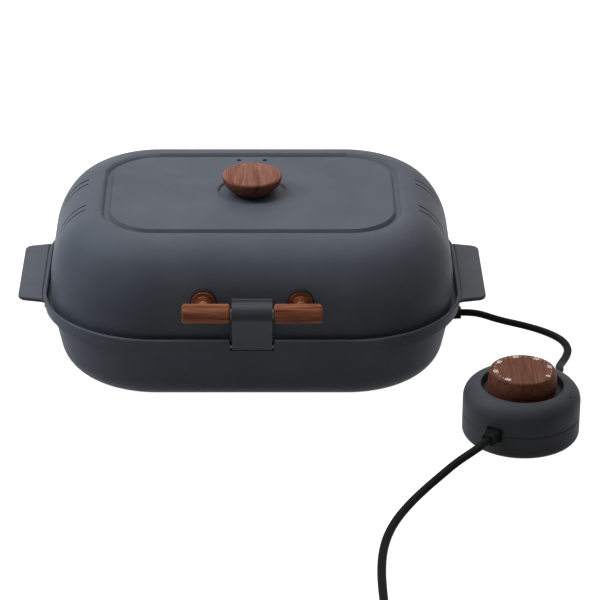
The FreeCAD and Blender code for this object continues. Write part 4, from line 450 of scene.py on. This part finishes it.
@dataclass
class Carried:
    """Merged, smoothly shaded copies of CAD nodes that stand for them."""

    weld: float = 0.000002
    flat_deg: float = 0.4
    smooth_deg: float = 24.0

    def copy(self, node: str, material: bpy.types.Material, body: Body, slot: str) -> None:
        """Copies one node and replaces it.

        Args:
            node: Name of the node.
            material: Finish.
            body: Body it rides on.
            slot: Material slot, not used.
        """
        mesh = bmesh.new()
        mesh.from_mesh(frame["nodes"][node].data)
        bmesh.ops.remove_doubles(mesh, verts=mesh.verts, dist=self.weld)
        bmesh.ops.dissolve_limit(mesh, angle_limit=math.radians(self.flat_deg), verts=mesh.verts,
                                 edges=mesh.edges)
        piece = to_object(mesh, "dressed_" + node, self.smooth_deg)
        even = piece.modifiers.new("even", "WEIGHTED_NORMAL")
        even.mode = "FACE_AREA"
        even.keep_sharp = True
        dress(piece, material, body, (node,))


# Turned pieces

def arc(centre: Pair, radius: float, start_deg: float, end_deg: float, count: int = 10) -> list[Pair]:
    """Points of a circle's part.

    Args:
        centre: Middle of the circle.
        radius: Its radius.
        start_deg: First angle.
        end_deg: Last angle.
        count: Steps between them.

    Returns:
        The points, both ends with them.
    """
    angles = [math.radians(start_deg + (end_deg - start_deg) * step / count) for step in range(count + 1)]
    return [(centre[0] + radius * math.cos(angle), centre[1] + radius * math.sin(angle)) for angle in angles]


def bow(first: Pair, last: Pair, rise: float, count: int = 10) -> list[Pair]:
    """Points of a flat curve that swells to the right of the way from one point to another.

    Args:
        first: Start.
        last: End.
        rise: Height of the swell.
        count: Steps.

    Returns:
        The points, both ends with them.
    """
    run = Vector(last) - Vector(first)
    side = Vector((run.y, -run.x)).normalized()
    shares = [step / count for step in range(count + 1)]
    return [tuple(Vector(first) + run * share + side * (4 * rise * share * (1 - share))) for share in shares]


def softened(corners: Sequence[Pair], radius: float, count: int = 3) -> list[Pair]:
    """A line of corners, each inner one rounded.

    Args:
        corners: The corners.
        radius: Reach of the rounding along both sides, less where they are short.
        count: Steps of each rounding.

    Returns:
        The rounded line.
    """
    line: list[Pair] = [corners[0]]
    for before, corner, after in zip(corners, corners[1:], corners[2:]):
        here = Vector(corner)
        back = Vector(before) - here
        ahead = Vector(after) - here
        reach = min(radius, back.length * 0.45, ahead.length * 0.45)
        enter = here + back.normalized() * reach
        leave = here + ahead.normalized() * reach
        for step in range(count + 1):
            share = step / count
            left = 1 - share
            line.append(tuple(enter * left ** 2 + here * (2 * share * left) + leave * share ** 2))
    line.append(corners[-1])
    return line


@dataclass(frozen=True)
class Turning:
    """Lathe that spins an outline of (radius, height) points in millimetres about an axis."""

    steps: int = 112
    seam: float = 0.000001
    smooth_deg: float = 42.0

    def build(self, name: str, outline: Sequence[Pair], centre: Point,
              along: Point = (0, 0, 1)) -> bpy.types.Object:
        """Spins one piece.

        Args:
            name: Name of the piece.
            outline: Points from one end of the axis to the other.
            centre: Place of height zero, in millimetres.
            along: Direction of the axis.

        Returns:
            The piece.
        """
        mesh = bmesh.new()
        spots = [mesh.verts.new((radius * MM, 0.0, height * MM)) for radius, height in outline]
        for first, second in zip(spots, spots[1:]):
            mesh.edges.new((first, second))
        bmesh.ops.spin(mesh, geom=mesh.verts[:] + mesh.edges[:], cent=(0, 0, 0), axis=(0, 0, 1),
                       angle=2 * math.pi, steps=self.steps, use_merge=True, use_duplicate=False)
        bmesh.ops.remove_doubles(mesh, verts=mesh.verts, dist=self.seam)
        bmesh.ops.recalc_face_normals(mesh, faces=mesh.faces)
        turn = Vector((0, 0, 1)).rotation_difference(Vector(along)).to_matrix().to_4x4()
        move = Matrix.Translation(Vector(centre) * MM + Vector((0, OUTLINE_SHIFT * MM, 0)))
        bmesh.ops.transform(mesh, matrix=move @ turn, verts=mesh.verts)
        return to_object(mesh, name, self.smooth_deg)


@dataclass
class TopKnob:
    """Walnut knob with a crowned top, on its dark collar."""

    centre: Point = (0.0, 4.0, 0.0)
    foot_z: float = 141.0
    top_z: float = 155.0
    radius: float = 25.0
    foot_radius: float = 19.5
    side_bow: float = 1.1
    crown: float = 1.6
    edge: float = 2.0
    foot_lip: Pair = (0.6, 1.2)
    dish_z: float = 136.8
    neck_radius: float = 15.0
    neck_step: Pair = (0.4, 1.2)
    neck_taper: float = 1.5
    screw_bore: float = 1.6

    def build(self, walnut: bpy.types.Material, black: bpy.types.Material) -> None:
        """Makes the knob and its collar.

        Args:
            walnut: Finish of the knob.
            black: Finish of the collar.
        """
        widest = self.top_z - self.crown - self.edge
        reach = self.radius - self.edge
        lip = (self.foot_radius + self.foot_lip[0], self.foot_z + self.foot_lip[1])
        outline = [(0.0, self.foot_z)]
        outline += softened([(1.0, self.foot_z), (self.foot_radius, self.foot_z), lip], 0.5)
        outline += bow(lip, (self.radius, widest), self.side_bow)[1:]
        outline += arc((reach, widest), self.edge, 0, 80, 6)[1:]
        outline += [(reach * (1 - share), self.top_z - self.crown * (1 - share) ** 2)
                    for share in (0.02, 0.1, 0.2, 0.35, 0.5, 0.65, 0.8, 0.92, 1.0)]
        lathe = Turning()
        dress(lathe.build("knob_walnut", outline, self.centre), walnut, Body.LID, ("top_knob",))
        collar = softened([(self.screw_bore, self.dish_z), (self.neck_radius, self.dish_z),
                           (self.neck_radius - self.neck_step[0], self.dish_z + self.neck_step[1]),
                           (self.neck_radius - self.neck_taper, self.foot_z),
                           (self.screw_bore, self.foot_z)], 0.4)
        neck = lathe.build("knob_collar", collar, self.centre)
        dress(neck, black, Body.LID, ("knob_neck",))


@dataclass
class BarHandle:
    """Two walnut halves of the bar on stepped walnut posts."""

    y: float = -148.0
    z: float = 98.0
    radius: float = 7.9
    inner: float = 17.5
    outer: float = 56.2
    bore: float = 4.05
    chamfer: float = 1.6
    post_x: float = 39.1
    post_sink: float = 2.5
    seat_y: float = -126.21
    washer: float = 0.8
    steps: tuple[Pair, ...] = ((9.7, 2.6), (6.3, 1.6), (5.1, 1.4))
    neck: float = 4.0
    screw_bore: float = 1.9
    bore_depth: float = 29.0

    def grip_outline(self) -> list[Pair]:
        """Outline of one half, from the latch's side outwards.

        Returns:
            The points.
        """
        cut = self.chamfer
        corners = [(self.bore, self.inner), (self.radius - cut, self.inner), (self.radius, self.inner + cut),
                   (self.radius, self.outer - cut), (self.radius - cut, self.outer), (0.0, self.outer)]
        return [(self.bore, self.inner + self.bore_depth)] + softened(corners, 0.7)

    def post_outline(self) -> list[Pair]:
        """Outline of one post, from its foot to the bar.

        Returns:
            The points.
        """
        corners = [(self.screw_bore, 0.0)]
        height = 0.0
        for radius, rise in self.steps:
            corners.append((radius, height))
            height += rise
            corners.append((radius, height))
        end = self.seat_y - self.washer - (self.y + self.radius - self.post_sink)
        corners += [(self.neck, height), (self.neck, end), (self.screw_bore, end)]
        return softened(corners, 0.45)

    def build(self, walnut: bpy.types.Material) -> None:
        """Makes both halves and both posts.

        Args:
            walnut: Finish of all four.
        """
        lathe = Turning()
        for side, name in ((-1, "left"), (1, "right")):
            grip = lathe.build("bar_grip_" + name, self.grip_outline(), (0.0, self.y, self.z), (side, 0, 0))
            dress(grip, walnut, Body.LID, ("handle_grip_" + name,))
            post = lathe.build("bar_post_" + name, self.post_outline(),
                               (side * self.post_x, self.seat_y - self.washer, self.z), (0, -1, 0))
            dress(post, walnut, Body.LID, ("handle_post_" + name,))


@dataclass
class Timer:
    """Timer housing with its sunk ring, and the walnut dial with printed minutes."""

    x: float = 215.7
    y: float = -170.0
    radius: float = 47.0
    wall: float = 2.5
    seam_z: float = 22.0
    groove: float = 0.7
    top_z: float = 47.0
    shoulder: float = 12.5
    recess_radius: float = 32.7
    recess_depth: float = 8.0
    recess_lip: float = 1.0
    dial_radius: float = 27.7
    dial_top_radius: float = 26.4
    dial_low: float = 40.2
    dial_top: float = 59.6
    dial_edge: float = 1.8
    dial_foot: Pair = (0.8, 1.5)
    dial_bow: float = 0.9
    socket: float = 9.05
    marks: tuple[int, ...] = (0, 10, 20, 30, 40, 50, 60)
    first_mark_deg: float = -31.0
    mark_step_deg: float = 44.0
    dots_between: int = 3
    mark_ring: float = 21.9
    mark_height: float = 5.1
    mark_weight: float = 0.012
    dot_ring: float = 22.6
    dot_radius: float = 0.4
    dot_facets: int = 14
    print_rise: float = 0.04
    shaft_bore: float = 3.1
    socket_depth: float = 8.0
    index_deg: float = -28.0
    index_ring: float = 41.5
    index_lean: Pair = (0.56, 0.83)
    index_outline: tuple[Pair, ...] = ((0.0, -0.6), (1.2, -0.5), (1.2, 0.05), (0.9, 0.18), (0.0, 0.22))

    def housing(self) -> list[Pair]:
        """Outline of the upper housing: inside, seam, side, shoulder and sunk ring.

        Returns:
            The points, with the first one again at the end.
        """
        shoulder_z = self.top_z - self.shoulder
        reach = self.radius - self.shoulder
        floor = self.top_z - self.recess_depth
        inside = self.radius - self.wall
        lip = self.recess_lip
        side = softened([(inside, shoulder_z - self.wall), (inside, self.seam_z),
                         (self.radius - self.groove, self.seam_z), (self.radius, self.seam_z + self.groove),
                         (self.radius, shoulder_z - 1.0)], 0.3)
        outline = [(self.shaft_bore, floor - self.wall), (self.recess_radius + self.wall, floor - self.wall)]
        outline += side
        outline += arc((reach, shoulder_z), self.shoulder, 0, 90, 14)
        outline += arc((self.recess_radius + lip, self.top_z - lip), lip, 90, 180, 5)
        outline += softened([(self.recess_radius, self.top_z - lip * 1.5), (self.recess_radius, floor),
                             (self.shaft_bore, floor)], 0.8)
        return outline + [(self.shaft_bore, floor - self.wall)]

    def dial_outline(self) -> list[Pair]:
        """Outline of the dial, from its socket to the middle of its top.

        Returns:
            The points.
        """
        socket_top = self.dial_low + self.socket_depth
        foot = (self.dial_radius - self.dial_foot[0], self.dial_low + self.dial_foot[1])
        edge_z = self.dial_top - self.dial_edge
        outline = [(0.0, socket_top), (self.socket, socket_top), (self.socket, self.dial_low)]
        outline += softened([(self.socket + 1.0, self.dial_low), (self.dial_radius - 1.0, self.dial_low),
                             foot], 0.6)
        outline += bow(foot, (self.dial_top_radius, edge_z), self.dial_bow)[1:]
        outline += arc((self.dial_top_radius - self.dial_edge, edge_z), self.dial_edge, 4, 90, 8)
        return outline + [(self.dial_top_radius * 0.8, self.dial_top), (0.0, self.dial_top)]

    def printed(self, mesh: bmesh.types.BMesh) -> None:
        """Adds the numerals and the dots between them, just proud of the dial's top.

        Args:
            mesh: Empty mesh that takes them.
        """
        for index, minutes in enumerate(self.marks):
            degrees = self.first_mark_deg + index * self.mark_step_deg
            glyphs = text_mesh(str(minutes), self.mark_height * MM, self.mark_weight)
            place = (Matrix.Translation((self.x * MM, (self.y + OUTLINE_SHIFT) * MM, self.dial_top * MM))
                     @ Matrix.Rotation(math.radians(degrees - 90), 4, "Z")
                     @ Matrix.Translation((0.0, self.mark_ring * MM, 0.0)))
            glyphs.transform(place)
            mesh.from_mesh(glyphs)
            bpy.data.meshes.remove(glyphs)
        count = (len(self.marks) - 1) * (self.dots_between + 1)
        for step in range(count):
            if step % (self.dots_between + 1) == 0:
                continue
            angle = math.radians(self.first_mark_deg + step * self.mark_step_deg / (self.dots_between + 1))
            where = ((self.x + self.dot_ring * math.cos(angle)) * MM,
                     (self.y + OUTLINE_SHIFT + self.dot_ring * math.sin(angle)) * MM, self.dial_top * MM)
            bmesh.ops.create_circle(mesh, cap_ends=True, segments=self.dot_facets,
                                    radius=self.dot_radius * MM, matrix=Matrix.Translation(where))
        proud = bmesh.ops.extrude_face_region(mesh, geom=mesh.faces[:])
        moved = [item for item in proud["geom"] if isinstance(item, bmesh.types.BMVert)]
        bmesh.ops.translate(mesh, vec=(0, 0, self.print_rise * MM), verts=moved)
        bmesh.ops.recalc_face_normals(mesh, faces=mesh.faces)

    def build(self, charcoal: bpy.types.Material, walnut: bpy.types.Material, white: bpy.types.Material,
              black: bpy.types.Material) -> list[str]:
        """Makes the upper housing, the dial and its print.

        Args:
            charcoal: Finish of the housing.
            walnut: Finish of the dial.
            white: Finish of the print.
            black: Finish of the index dot.

        Returns:
            Names of the pieces that go with the cord.
        """
        lathe = Turning()
        centre = (self.x, self.y, 0.0)
        dress(lathe.build("timer_top", self.housing(), centre), charcoal, Body.BASE,
              ("puck_upper_housing",))
        dial = lathe.build("dial_walnut", self.dial_outline(), centre)
        dress(dial, walnut, Body.DIAL, ("timer_dial",))
        mesh = bmesh.new()
        self.printed(mesh)
        dress(to_object(mesh, "dial_print"), white, Body.DIAL)
        angle = math.radians(self.index_deg)
        drop = math.sqrt(self.shoulder ** 2 - (self.index_ring - self.radius + self.shoulder) ** 2)
        across, up = self.index_lean
        place = (self.x + self.index_ring * math.cos(angle), self.y + self.index_ring * math.sin(angle),
                 self.top_z - self.shoulder + drop)
        mark = lathe.build("timer_index", self.index_outline, place,
                           (math.cos(angle) * across, math.sin(angle) * across, up))
        dress(mark, black, Body.BASE)
        return ["timer_top", "dial_walnut", "dial_print", "timer_index"]


def text_mesh(words: str, height: float, weight: float) -> bpy.types.Mesh:
    """Flat mesh of some plain figures, centred on the origin.

    Args:
        words: The figures.
        height: Size of the type in metres.
        weight: Thickening of the strokes, as a share of the height.

    Returns:
        The mesh.
    """
    data = bpy.data.curves.new("figures", "FONT")
    data.body = words
    data.size = height
    data.align_x = "CENTER"
    data.align_y = "CENTER"
    data.offset = height * weight
    holder = bpy.data.objects.new("figures", data)
    mesh = bpy.data.meshes.new_from_object(holder)
    bpy.data.objects.remove(holder)
    bpy.data.curves.remove(data)
    return mesh


# Cords

@dataclass
class FlatCord:
    """Twin flat lead: two cores side by side that lie flat, and stand on edge in the coil."""

    width: float = 6.8 * MM
    thickness: float = 5.4 * MM
    facets: int = 12
    resolution: int = 6
    smooth_deg: float = 50.0

    def centreline(self, route: Sequence[Point]) -> list[Vector]:
        """Points of the smooth line that the route's points control.

        Args:
            route: Control points in metres.

        Returns:
            Points along the line.
        """
        data = bpy.data.curves.new("route", "CURVE")
        data.dimensions = "3D"
        data.resolution_u = self.resolution
        line = data.splines.new("NURBS")
        line.points.add(len(route) - 1)
        for point, place in zip(line.points, route):
            point.co = (*place, 1.0)
        line.order_u = 3
        line.use_endpoint_u = True
        holder = bpy.data.objects.new("route", data)
        mesh = bpy.data.meshes.new_from_object(holder)
        points = [vertex.co.copy() for vertex in mesh.vertices]
        bpy.data.objects.remove(holder)
        bpy.data.curves.remove(data)
        bpy.data.meshes.remove(mesh)
        return points

    def outline(self) -> list[Pair]:
        """Outline of the two cores, with the web between them.

        Returns:
            The points, (across, up) in metres.
        """
        core = self.thickness / 2
        apart = self.width / 2 - core
        meet = math.degrees(math.acos(-apart / core))
        right = arc((apart, 0.0), core, -meet, meet, self.facets)
        left = arc((-apart, 0.0), core, 180 - meet, 180 + meet, self.facets)
        return right[:-1] + left[:-1]

    def sweep(self, name: str, points: Sequence[Vector], edge_from: float = math.inf,
              edge_to: float = math.inf) -> bpy.types.Object:
        """Carries the outline along the line.

        Args:
            name: Name of the piece.
            points: Points of the line.
            edge_from: Length in metres after which the lead starts to turn on its edge.
            edge_to: Length at which it stands on its edge.

        Returns:
            The cord.
        """
        mesh = bmesh.new()
        spots = self.outline()
        rings = []
        gone = 0.0
        for index, point in enumerate(points):
            gone += (point - points[max(index - 1, 0)]).length
            share = 0.0 if gone < edge_from else min(1.0, (gone - edge_from) / (edge_to - edge_from))
            ahead = points[min(index + 1, len(points) - 1)] - points[max(index - 1, 0)]
            ahead.normalize()
            side = ahead.cross(Vector((0, 0, 1))).normalized()
            upright = side.cross(ahead).normalized()
            turn = Matrix.Rotation(share * math.pi / 2, 3, ahead)
            side = turn @ side
            upright = turn @ upright
            rings.append([mesh.verts.new(point + side * across + upright * high) for across, high in spots])
        for first, second in zip(rings, rings[1:]):
            for step in range(len(spots)):
                after = (step + 1) % len(spots)
                mesh.faces.new((first[step], first[after], second[after], second[step]))
        mesh.faces.new(list(reversed(rings[0])))
        mesh.faces.new(rings[-1])
        bmesh.ops.recalc_face_normals(mesh, faces=mesh.faces)
        return to_object(mesh, name, self.smooth_deg)


@dataclass
class Leads:
    """The cord from the roaster to the timer, and the mains cord with its coil, tail and plug."""

    cord: FlatCord = field(default_factory=FlatCord)
    floor_z: float = 3.5
    lead: float = 10.0
    heater_length: float = 0.2119
    mains_length: float = 1.609
    base_tip: Point = (179.3, 14.0, 19.5)
    puck_axis: Pair = (215.7, -170.0)
    puck_tip: float = 60.0
    puck_z: float = 23.0
    heater_angle: float = 61.0
    mains_angle: float = 239.0
    coil_centre: Pair = (50.0, -512.0)
    coil_outer: float = 47.0
    coil_pitch: float = 7.6
    coil_layer: float = 7.6
    coil_halves: int = 5
    coil_z: float = 4.6
    coil_leave: float = 6.8
    half_points: int = 9
    edge_from: float = 0.19
    edge_to: float = 0.30
    plug_shift: float = 8.0
    tail_reach: float = 100.0
    tail_bow: float = 0.6
    plug_z: float = 7.5

    def puck_exit(self, degrees: float, ahead: float = 0.0) -> Point:
        """Place on the axis of a strain relief of the timer.

        Args:
            degrees: Direction of the strain relief, seen from above.
            ahead: Way beyond its tip.

        Returns:
            The place.
        """
        angle = math.radians(degrees)
        reach = self.puck_tip + ahead
        return (self.puck_axis[0] + reach * math.cos(angle), self.puck_axis[1] + reach * math.sin(angle),
                self.puck_z)

    def heater_route(self) -> list[Point]:
        """Route from the roaster to the timer.

        Returns:
            Control points in millimetres.
        """
        x, y, z = self.base_tip
        return [
            self.base_tip, (x + self.lead, y, z), (199.2, 13.9, 17.1), (208.7, 14.6, 13.3), (219.7, 16, 9.5),
            (233.2, 15.9, 6.3), (247.6, 10.8, 4.3), (259.4, 0.7, 3.8), (266.6, -12.9, 4.3),
            (268.2, -28.3, 4.8), (264.3, -44.9, 6.3), (258.9, -61.7, 9.3), (255.1, -78.4, 14.6),
            (254, -95.6, 20.7),
            self.puck_exit(self.heater_angle, self.lead), self.puck_exit(self.heater_angle),
        ]

    def coil_route(self) -> list[Point]:
        """Turns of the put-away length: inwards, up a layer and outwards.

        Returns:
            Control points in millimetres.
        """
        x = self.coil_centre[0] + self.coil_outer
        z = self.coil_z
        side = 1
        route: list[Point] = []
        for half in range(2 * self.coil_halves):
            inset = half if half <= self.coil_halves else 2 * self.coil_halves - half
            radius = self.coil_outer - inset * self.coil_pitch / 2
            swell = 1 / math.cos(math.pi / self.half_points / 2)
            middle = x - side * radius
            rise = self.coil_layer if half == self.coil_halves else 0.0
            for step in range(self.half_points):
                share = (step + 0.5) / self.half_points
                angle = math.pi * share
                ease = share * share * (3 - 2 * share)
                route.append((middle + side * radius * swell * math.cos(angle),
                              self.coil_centre[1] - side * radius * swell * math.sin(angle), z + rise * ease))
            x -= side * 2 * radius
            z += rise
            side = -side
        return route

    def mains_route(self) -> list[Point]:
        """Route from the timer over the floor, round the coil and down to the plug.

        Returns:
            Control points in millimetres.
        """
        floor = self.floor_z
        start_x = self.coil_centre[0] + self.coil_outer
        run = [
            self.puck_exit(self.mains_angle), self.puck_exit(self.mains_angle, self.lead),
            (170.8, -239.3, 21.8), (158.7, -248.7, 18.2), (146.1, -259.9, 12.8), (133.1, -273.5, 8.4),
            (120.6, -290.5, 5.2), (109.9, -311, 3.7), (102, -334.7, floor), (97.3, -360.8, floor),
            (95.4, -388.5, floor), (95.4, -417.2, floor), (96.3, -446.5, 3.8),
            (start_x, -476, self.coil_z), (start_x, -505.2, self.coil_z),
        ]
        turns = self.coil_route()
        end_x = turns[-1][0]
        top = self.coil_z + self.coil_layer
        leave_y = self.coil_centre[1] - self.coil_leave
        far_x = end_x + self.plug_shift
        tail = [
            (end_x, leave_y, top),
            (end_x, leave_y - self.tail_reach * 0.22, top),
            ((end_x + far_x) / 2 - self.tail_bow, leave_y - self.tail_reach * 0.48,
             (top + self.plug_z) / 2 + self.tail_bow),
            (far_x, leave_y - self.tail_reach * 0.78, self.plug_z),
            (far_x, leave_y - self.tail_reach, self.plug_z),
        ]
        return run + turns + tail

    def placed(self, route: Sequence[Point]) -> list[Point]:
        """A route in metres, moved with the outline's middle."""
        return [(x * MM, (y + OUTLINE_SHIFT) * MM, z * MM) for x, y, z in route]

    def build(self, sheath: bpy.types.Material, carried_along: Iterable[str]) -> None:
        """Args:
            sheath: Finish of the cords.
            carried_along: Names of the separate pieces on the cord, not used.
        """
        heater = self.placed(self.heater_route())
        line = self.cord.centreline(heater)
        piece = self.cord.sweep("cord_to_timer", line)
        dress(piece, sheath, Body.BASE, ("heater_cord",))
        mains = self.placed(self.mains_route())
        line = self.cord.centreline(mains)
        piece = self.cord.sweep("cord_to_mains", line, self.edge_from, self.edge_to)
        dress(piece, sheath, Body.BASE, ("mains_cord", "mains_coil", "mains_tail"))


# Studio

@dataclass(frozen=True)
class Lamp:
    """Soft rectangular lamp that faces the object."""

    name: str
    place: Point
    size: Pair
    power: float
    color: Color
    aim: Point = (0.0, 0.0, 0.05)

    def hang(self) -> None:
        """Puts the lamp in the scene."""
        data = bpy.data.lights.new(self.name, "AREA")
        data.shape = "RECTANGLE"
        data.size, data.size_y = self.size
        data.energy = self.power
        data.color = self.color
        made = bpy.data.objects.new(self.name, data)
        made.location = self.place
        made.rotation_euler = (Vector(self.place) - Vector(self.aim)).to_track_quat("Z", "Y").to_euler()
        bpy.context.scene.collection.objects.link(made)


@dataclass(frozen=True)
class Studio:
    """Camera, white floor, background and soft lamps."""

    camera_place: Point = (0.0, -2.24175, 1.1325)
    camera_tilt_deg: float = 64.04
    lens: float = 176.2
    sensor: float = 36.0
    shift_x: float = 0.080
    sight: Pair = (0.01, 100.0)
    floor_size: float = 12.0
    floor_tone: Color = (0.38, 0.38, 0.38)
    floor_glow: float = 1.0
    fill: float = 0.06
    fill_color: Color = (1.0, 0.9, 0.86)
    lamps: tuple[Lamp, ...] = (
        Lamp("lamp_top", (0.0, 0.2, 1.8), (1.6, 1.6), 20.0, (0.98, 0.99, 0.89)),
        Lamp("lamp_back", (0.0, 1.5, 1.5), (2.0, 1.0), 8.0, (1.0, 0.88, 0.84)),
        Lamp("lamp_left", (-1.3, 0.2, 1.5), (1.2, 1.4), 37.0, (0.76, 0.87, 1.0)),
        Lamp("lamp_right", (1.3, 0.3, 1.5), (1.2, 1.4), 4.0, (0.72, 0.86, 1.0)),
        Lamp("lamp_front", (0.0, -1.6, 0.7), (1.4, 0.8), 1.0, (1.0, 0.80, 0.66)),
    )

    def camera(self) -> None:
        """Sets the camera at the photograph's viewing angle."""
        data = bpy.data.cameras.new("camera")
        data.lens = self.lens
        data.sensor_width = self.sensor
        data.shift_x = self.shift_x
        data.clip_start, data.clip_end = self.sight
        made = bpy.data.objects.new("camera", data)
        made.location = self.camera_place
        made.rotation_euler = (math.radians(self.camera_tilt_deg), 0.0, 0.0)
        bpy.context.scene.collection.objects.link(made)
        bpy.context.scene.camera = made

    def floor(self) -> None:
        """Lays the floor, which is white where it is seen and plain where it lights the object."""
        mesh = bmesh.new()
        bmesh.ops.create_grid(mesh, x_segments=2, y_segments=2, size=self.floor_size / 2)
        made = to_object(mesh, "floor")
        shader = Shader("floor_white")
        plain = shader.node("ShaderNodeBsdfDiffuse")
        plain.inputs["Color"].default_value = (*self.floor_tone, 1.0)
        glow = shader.node("ShaderNodeEmission")
        glow.inputs["Strength"].default_value = self.floor_glow
        both = shader.node("ShaderNodeAddShader")
        pick = shader.node("ShaderNodeMixShader")
        shader.join(plain.outputs[0], both.inputs[0])
        shader.join(glow.outputs[0], both.inputs[1])
        shader.join(shader.shown_rays(), pick.inputs[0])
        shader.join(plain.outputs[0], pick.inputs[1])
        shader.join(both.outputs[0], pick.inputs[2])
        shader.join(pick.outputs[0], shader.output.inputs["Surface"])
        made.data.materials.append(shader.material)

    def world(self) -> None:
        """Sets the white background and its weak fill light."""
        world = bpy.data.worlds.new("white")
        world.use_nodes = True
        bpy.context.scene.world = world
        nodes = Nodes(world.node_tree, "ShaderNodeOutputWorld")
        pick = nodes.node("ShaderNodeMixShader")
        nodes.join(nodes.shown_rays(), pick.inputs[0])
        for index, color, strength in ((1, self.fill_color, self.fill), (2, (1.0, 1.0, 1.0), 1.0)):
            light = nodes.node("ShaderNodeBackground")
            light.inputs["Color"].default_value = (*color, 1.0)
            light.inputs["Strength"].default_value = strength
            nodes.join(light.outputs[0], pick.inputs[index])
        nodes.join(pick.outputs[0], nodes.output.inputs["Surface"])

    def build(self) -> None:
        """Sets up everything round the object."""
        self.camera()
        for lamp in self.lamps:
            lamp.hang()
        self.floor()
        self.world()
        bpy.context.scene.view_settings.view_transform = "Standard"


# Finishes of the slots, and the whole object

def slot_finishes() -> dict[str, bpy.types.Material]:
    """Builds the finish of each material slot, but for the walnut, whose pieces differ.

    Returns:
        The finishes by slot.
    """
    shell = Charcoal().build()
    rubber = Moulded("black_rubber", (0.004, 0.004, 0.004), 0.62, gloss=0.05).build()
    return {
        "shell_charcoal": shell,
        "timer_charcoal": Moulded("timer_charcoal", (0.046, 0.047, 0.054), 0.56).build(),
        "cast_plate": Moulded("cast_coat", (0.012, 0.012, 0.012), 0.38, 700.0, 0.00005).build(),
        "steel": Metal("plain_steel", (0.44, 0.44, 0.45), 0.38).build(),
        "latch_metal": Charcoal("latch_enamel", (0.043, 0.044, 0.052), 0.06, 0.32, relief=0.00001).build(),
        "element_steel": Metal("element", (0.25, 0.24, 0.23), 0.45).build(),
        "reflector_sheet": Metal("bright_sheet", (0.78, 0.78, 0.78), 0.32).build(),
        "black_plastic": Moulded("matt_black", (0.012, 0.012, 0.013), 0.45).build(),
        "ceramic": Moulded("ceramic", (0.75, 0.73, 0.68), 0.3).build(),
        "rubber": rubber,
        "cord_sheath": rubber,
        "blade_brass": Metal("brass", (0.75, 0.58, 0.27), 0.28).build(),
    }


def carry_rest(finishes: dict[str, bpy.types.Material], painted_shade_steel: bpy.types.Material) -> None:
    """Copies every node that no sub-assembly here models.

    Args:
        finishes: Finish of each slot.
        painted_shade_steel: Finish of the two steel pins that show beside the latch: near-black, painted
            shade of the gaps there.
    """
    modelled = {"top_knob", "knob_neck", "handle_grip_left", "handle_grip_right", "handle_post_left",
                "handle_post_right", "puck_upper_housing", "timer_dial", "heater_cord", "mains_cord",
                "mains_coil", "mains_tail"}
    # The rod and the pin in the gaps beside the latch get near-black steel: painted shade of those gaps.
    dark = {"handle_rod", "latch_pin"}
    carried = Carried()
    bodies = frame["record"]["behaviour"]["bodies"]
    slots = {entry["node"]: entry["material_slot"] for entry in frame["record"]["subparts"]}
    for body in Body:
        for node in bodies[body.value]:
            if node not in modelled:
                finish = painted_shade_steel if node in dark else finishes[slots[node]]
                carried.copy(node, finish, body, slots[node])


def main() -> None:
    """Builds the studio and every sub-assembly, and reports each piece."""
    logging.basicConfig(level=logging.INFO, format="%(name)s: %(message)s")
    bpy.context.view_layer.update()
    Studio().build()
    finishes = slot_finishes()
    black = finishes["black_plastic"]
    walnut_bar = Walnut("walnut_bar", Grain.ALONG_X).build()
    walnut_knob = Walnut("walnut_knob", Grain.ALONG_Y, light=(0.245, 0.100, 0.068),
                         middle=(0.198, 0.076, 0.050), dark=(0.095, 0.032, 0.020)).build()
    walnut_dial = Walnut("walnut_dial", Grain.ALONG_Y, light=(0.158, 0.058, 0.034),
                         middle=(0.120, 0.041, 0.023), dark=(0.058, 0.019, 0.011)).build()
    white = Moulded("dial_white", (0.84, 0.77, 0.73)).build()
    # Near-black steel for the rod and pin beside the latch: painted shade of the gaps there.
    painted_shade_steel = Metal("steel_painted_shade", (0.085, 0.085, 0.090), 0.45).build()
    TopKnob().build(walnut_knob, black)
    BarHandle().build(walnut_bar)
    on_cord = Timer().build(finishes["timer_charcoal"], walnut_dial, white, black)
    on_cord += ["dressed_" + node for node in frame["record"]["physics"]["cord_nodes"]]
    carry_rest(finishes, painted_shade_steel)
    Leads().build(finishes["cord_sheath"], [name for name in on_cord if name in bpy.data.objects])


if __name__ == "__main__":
    main()
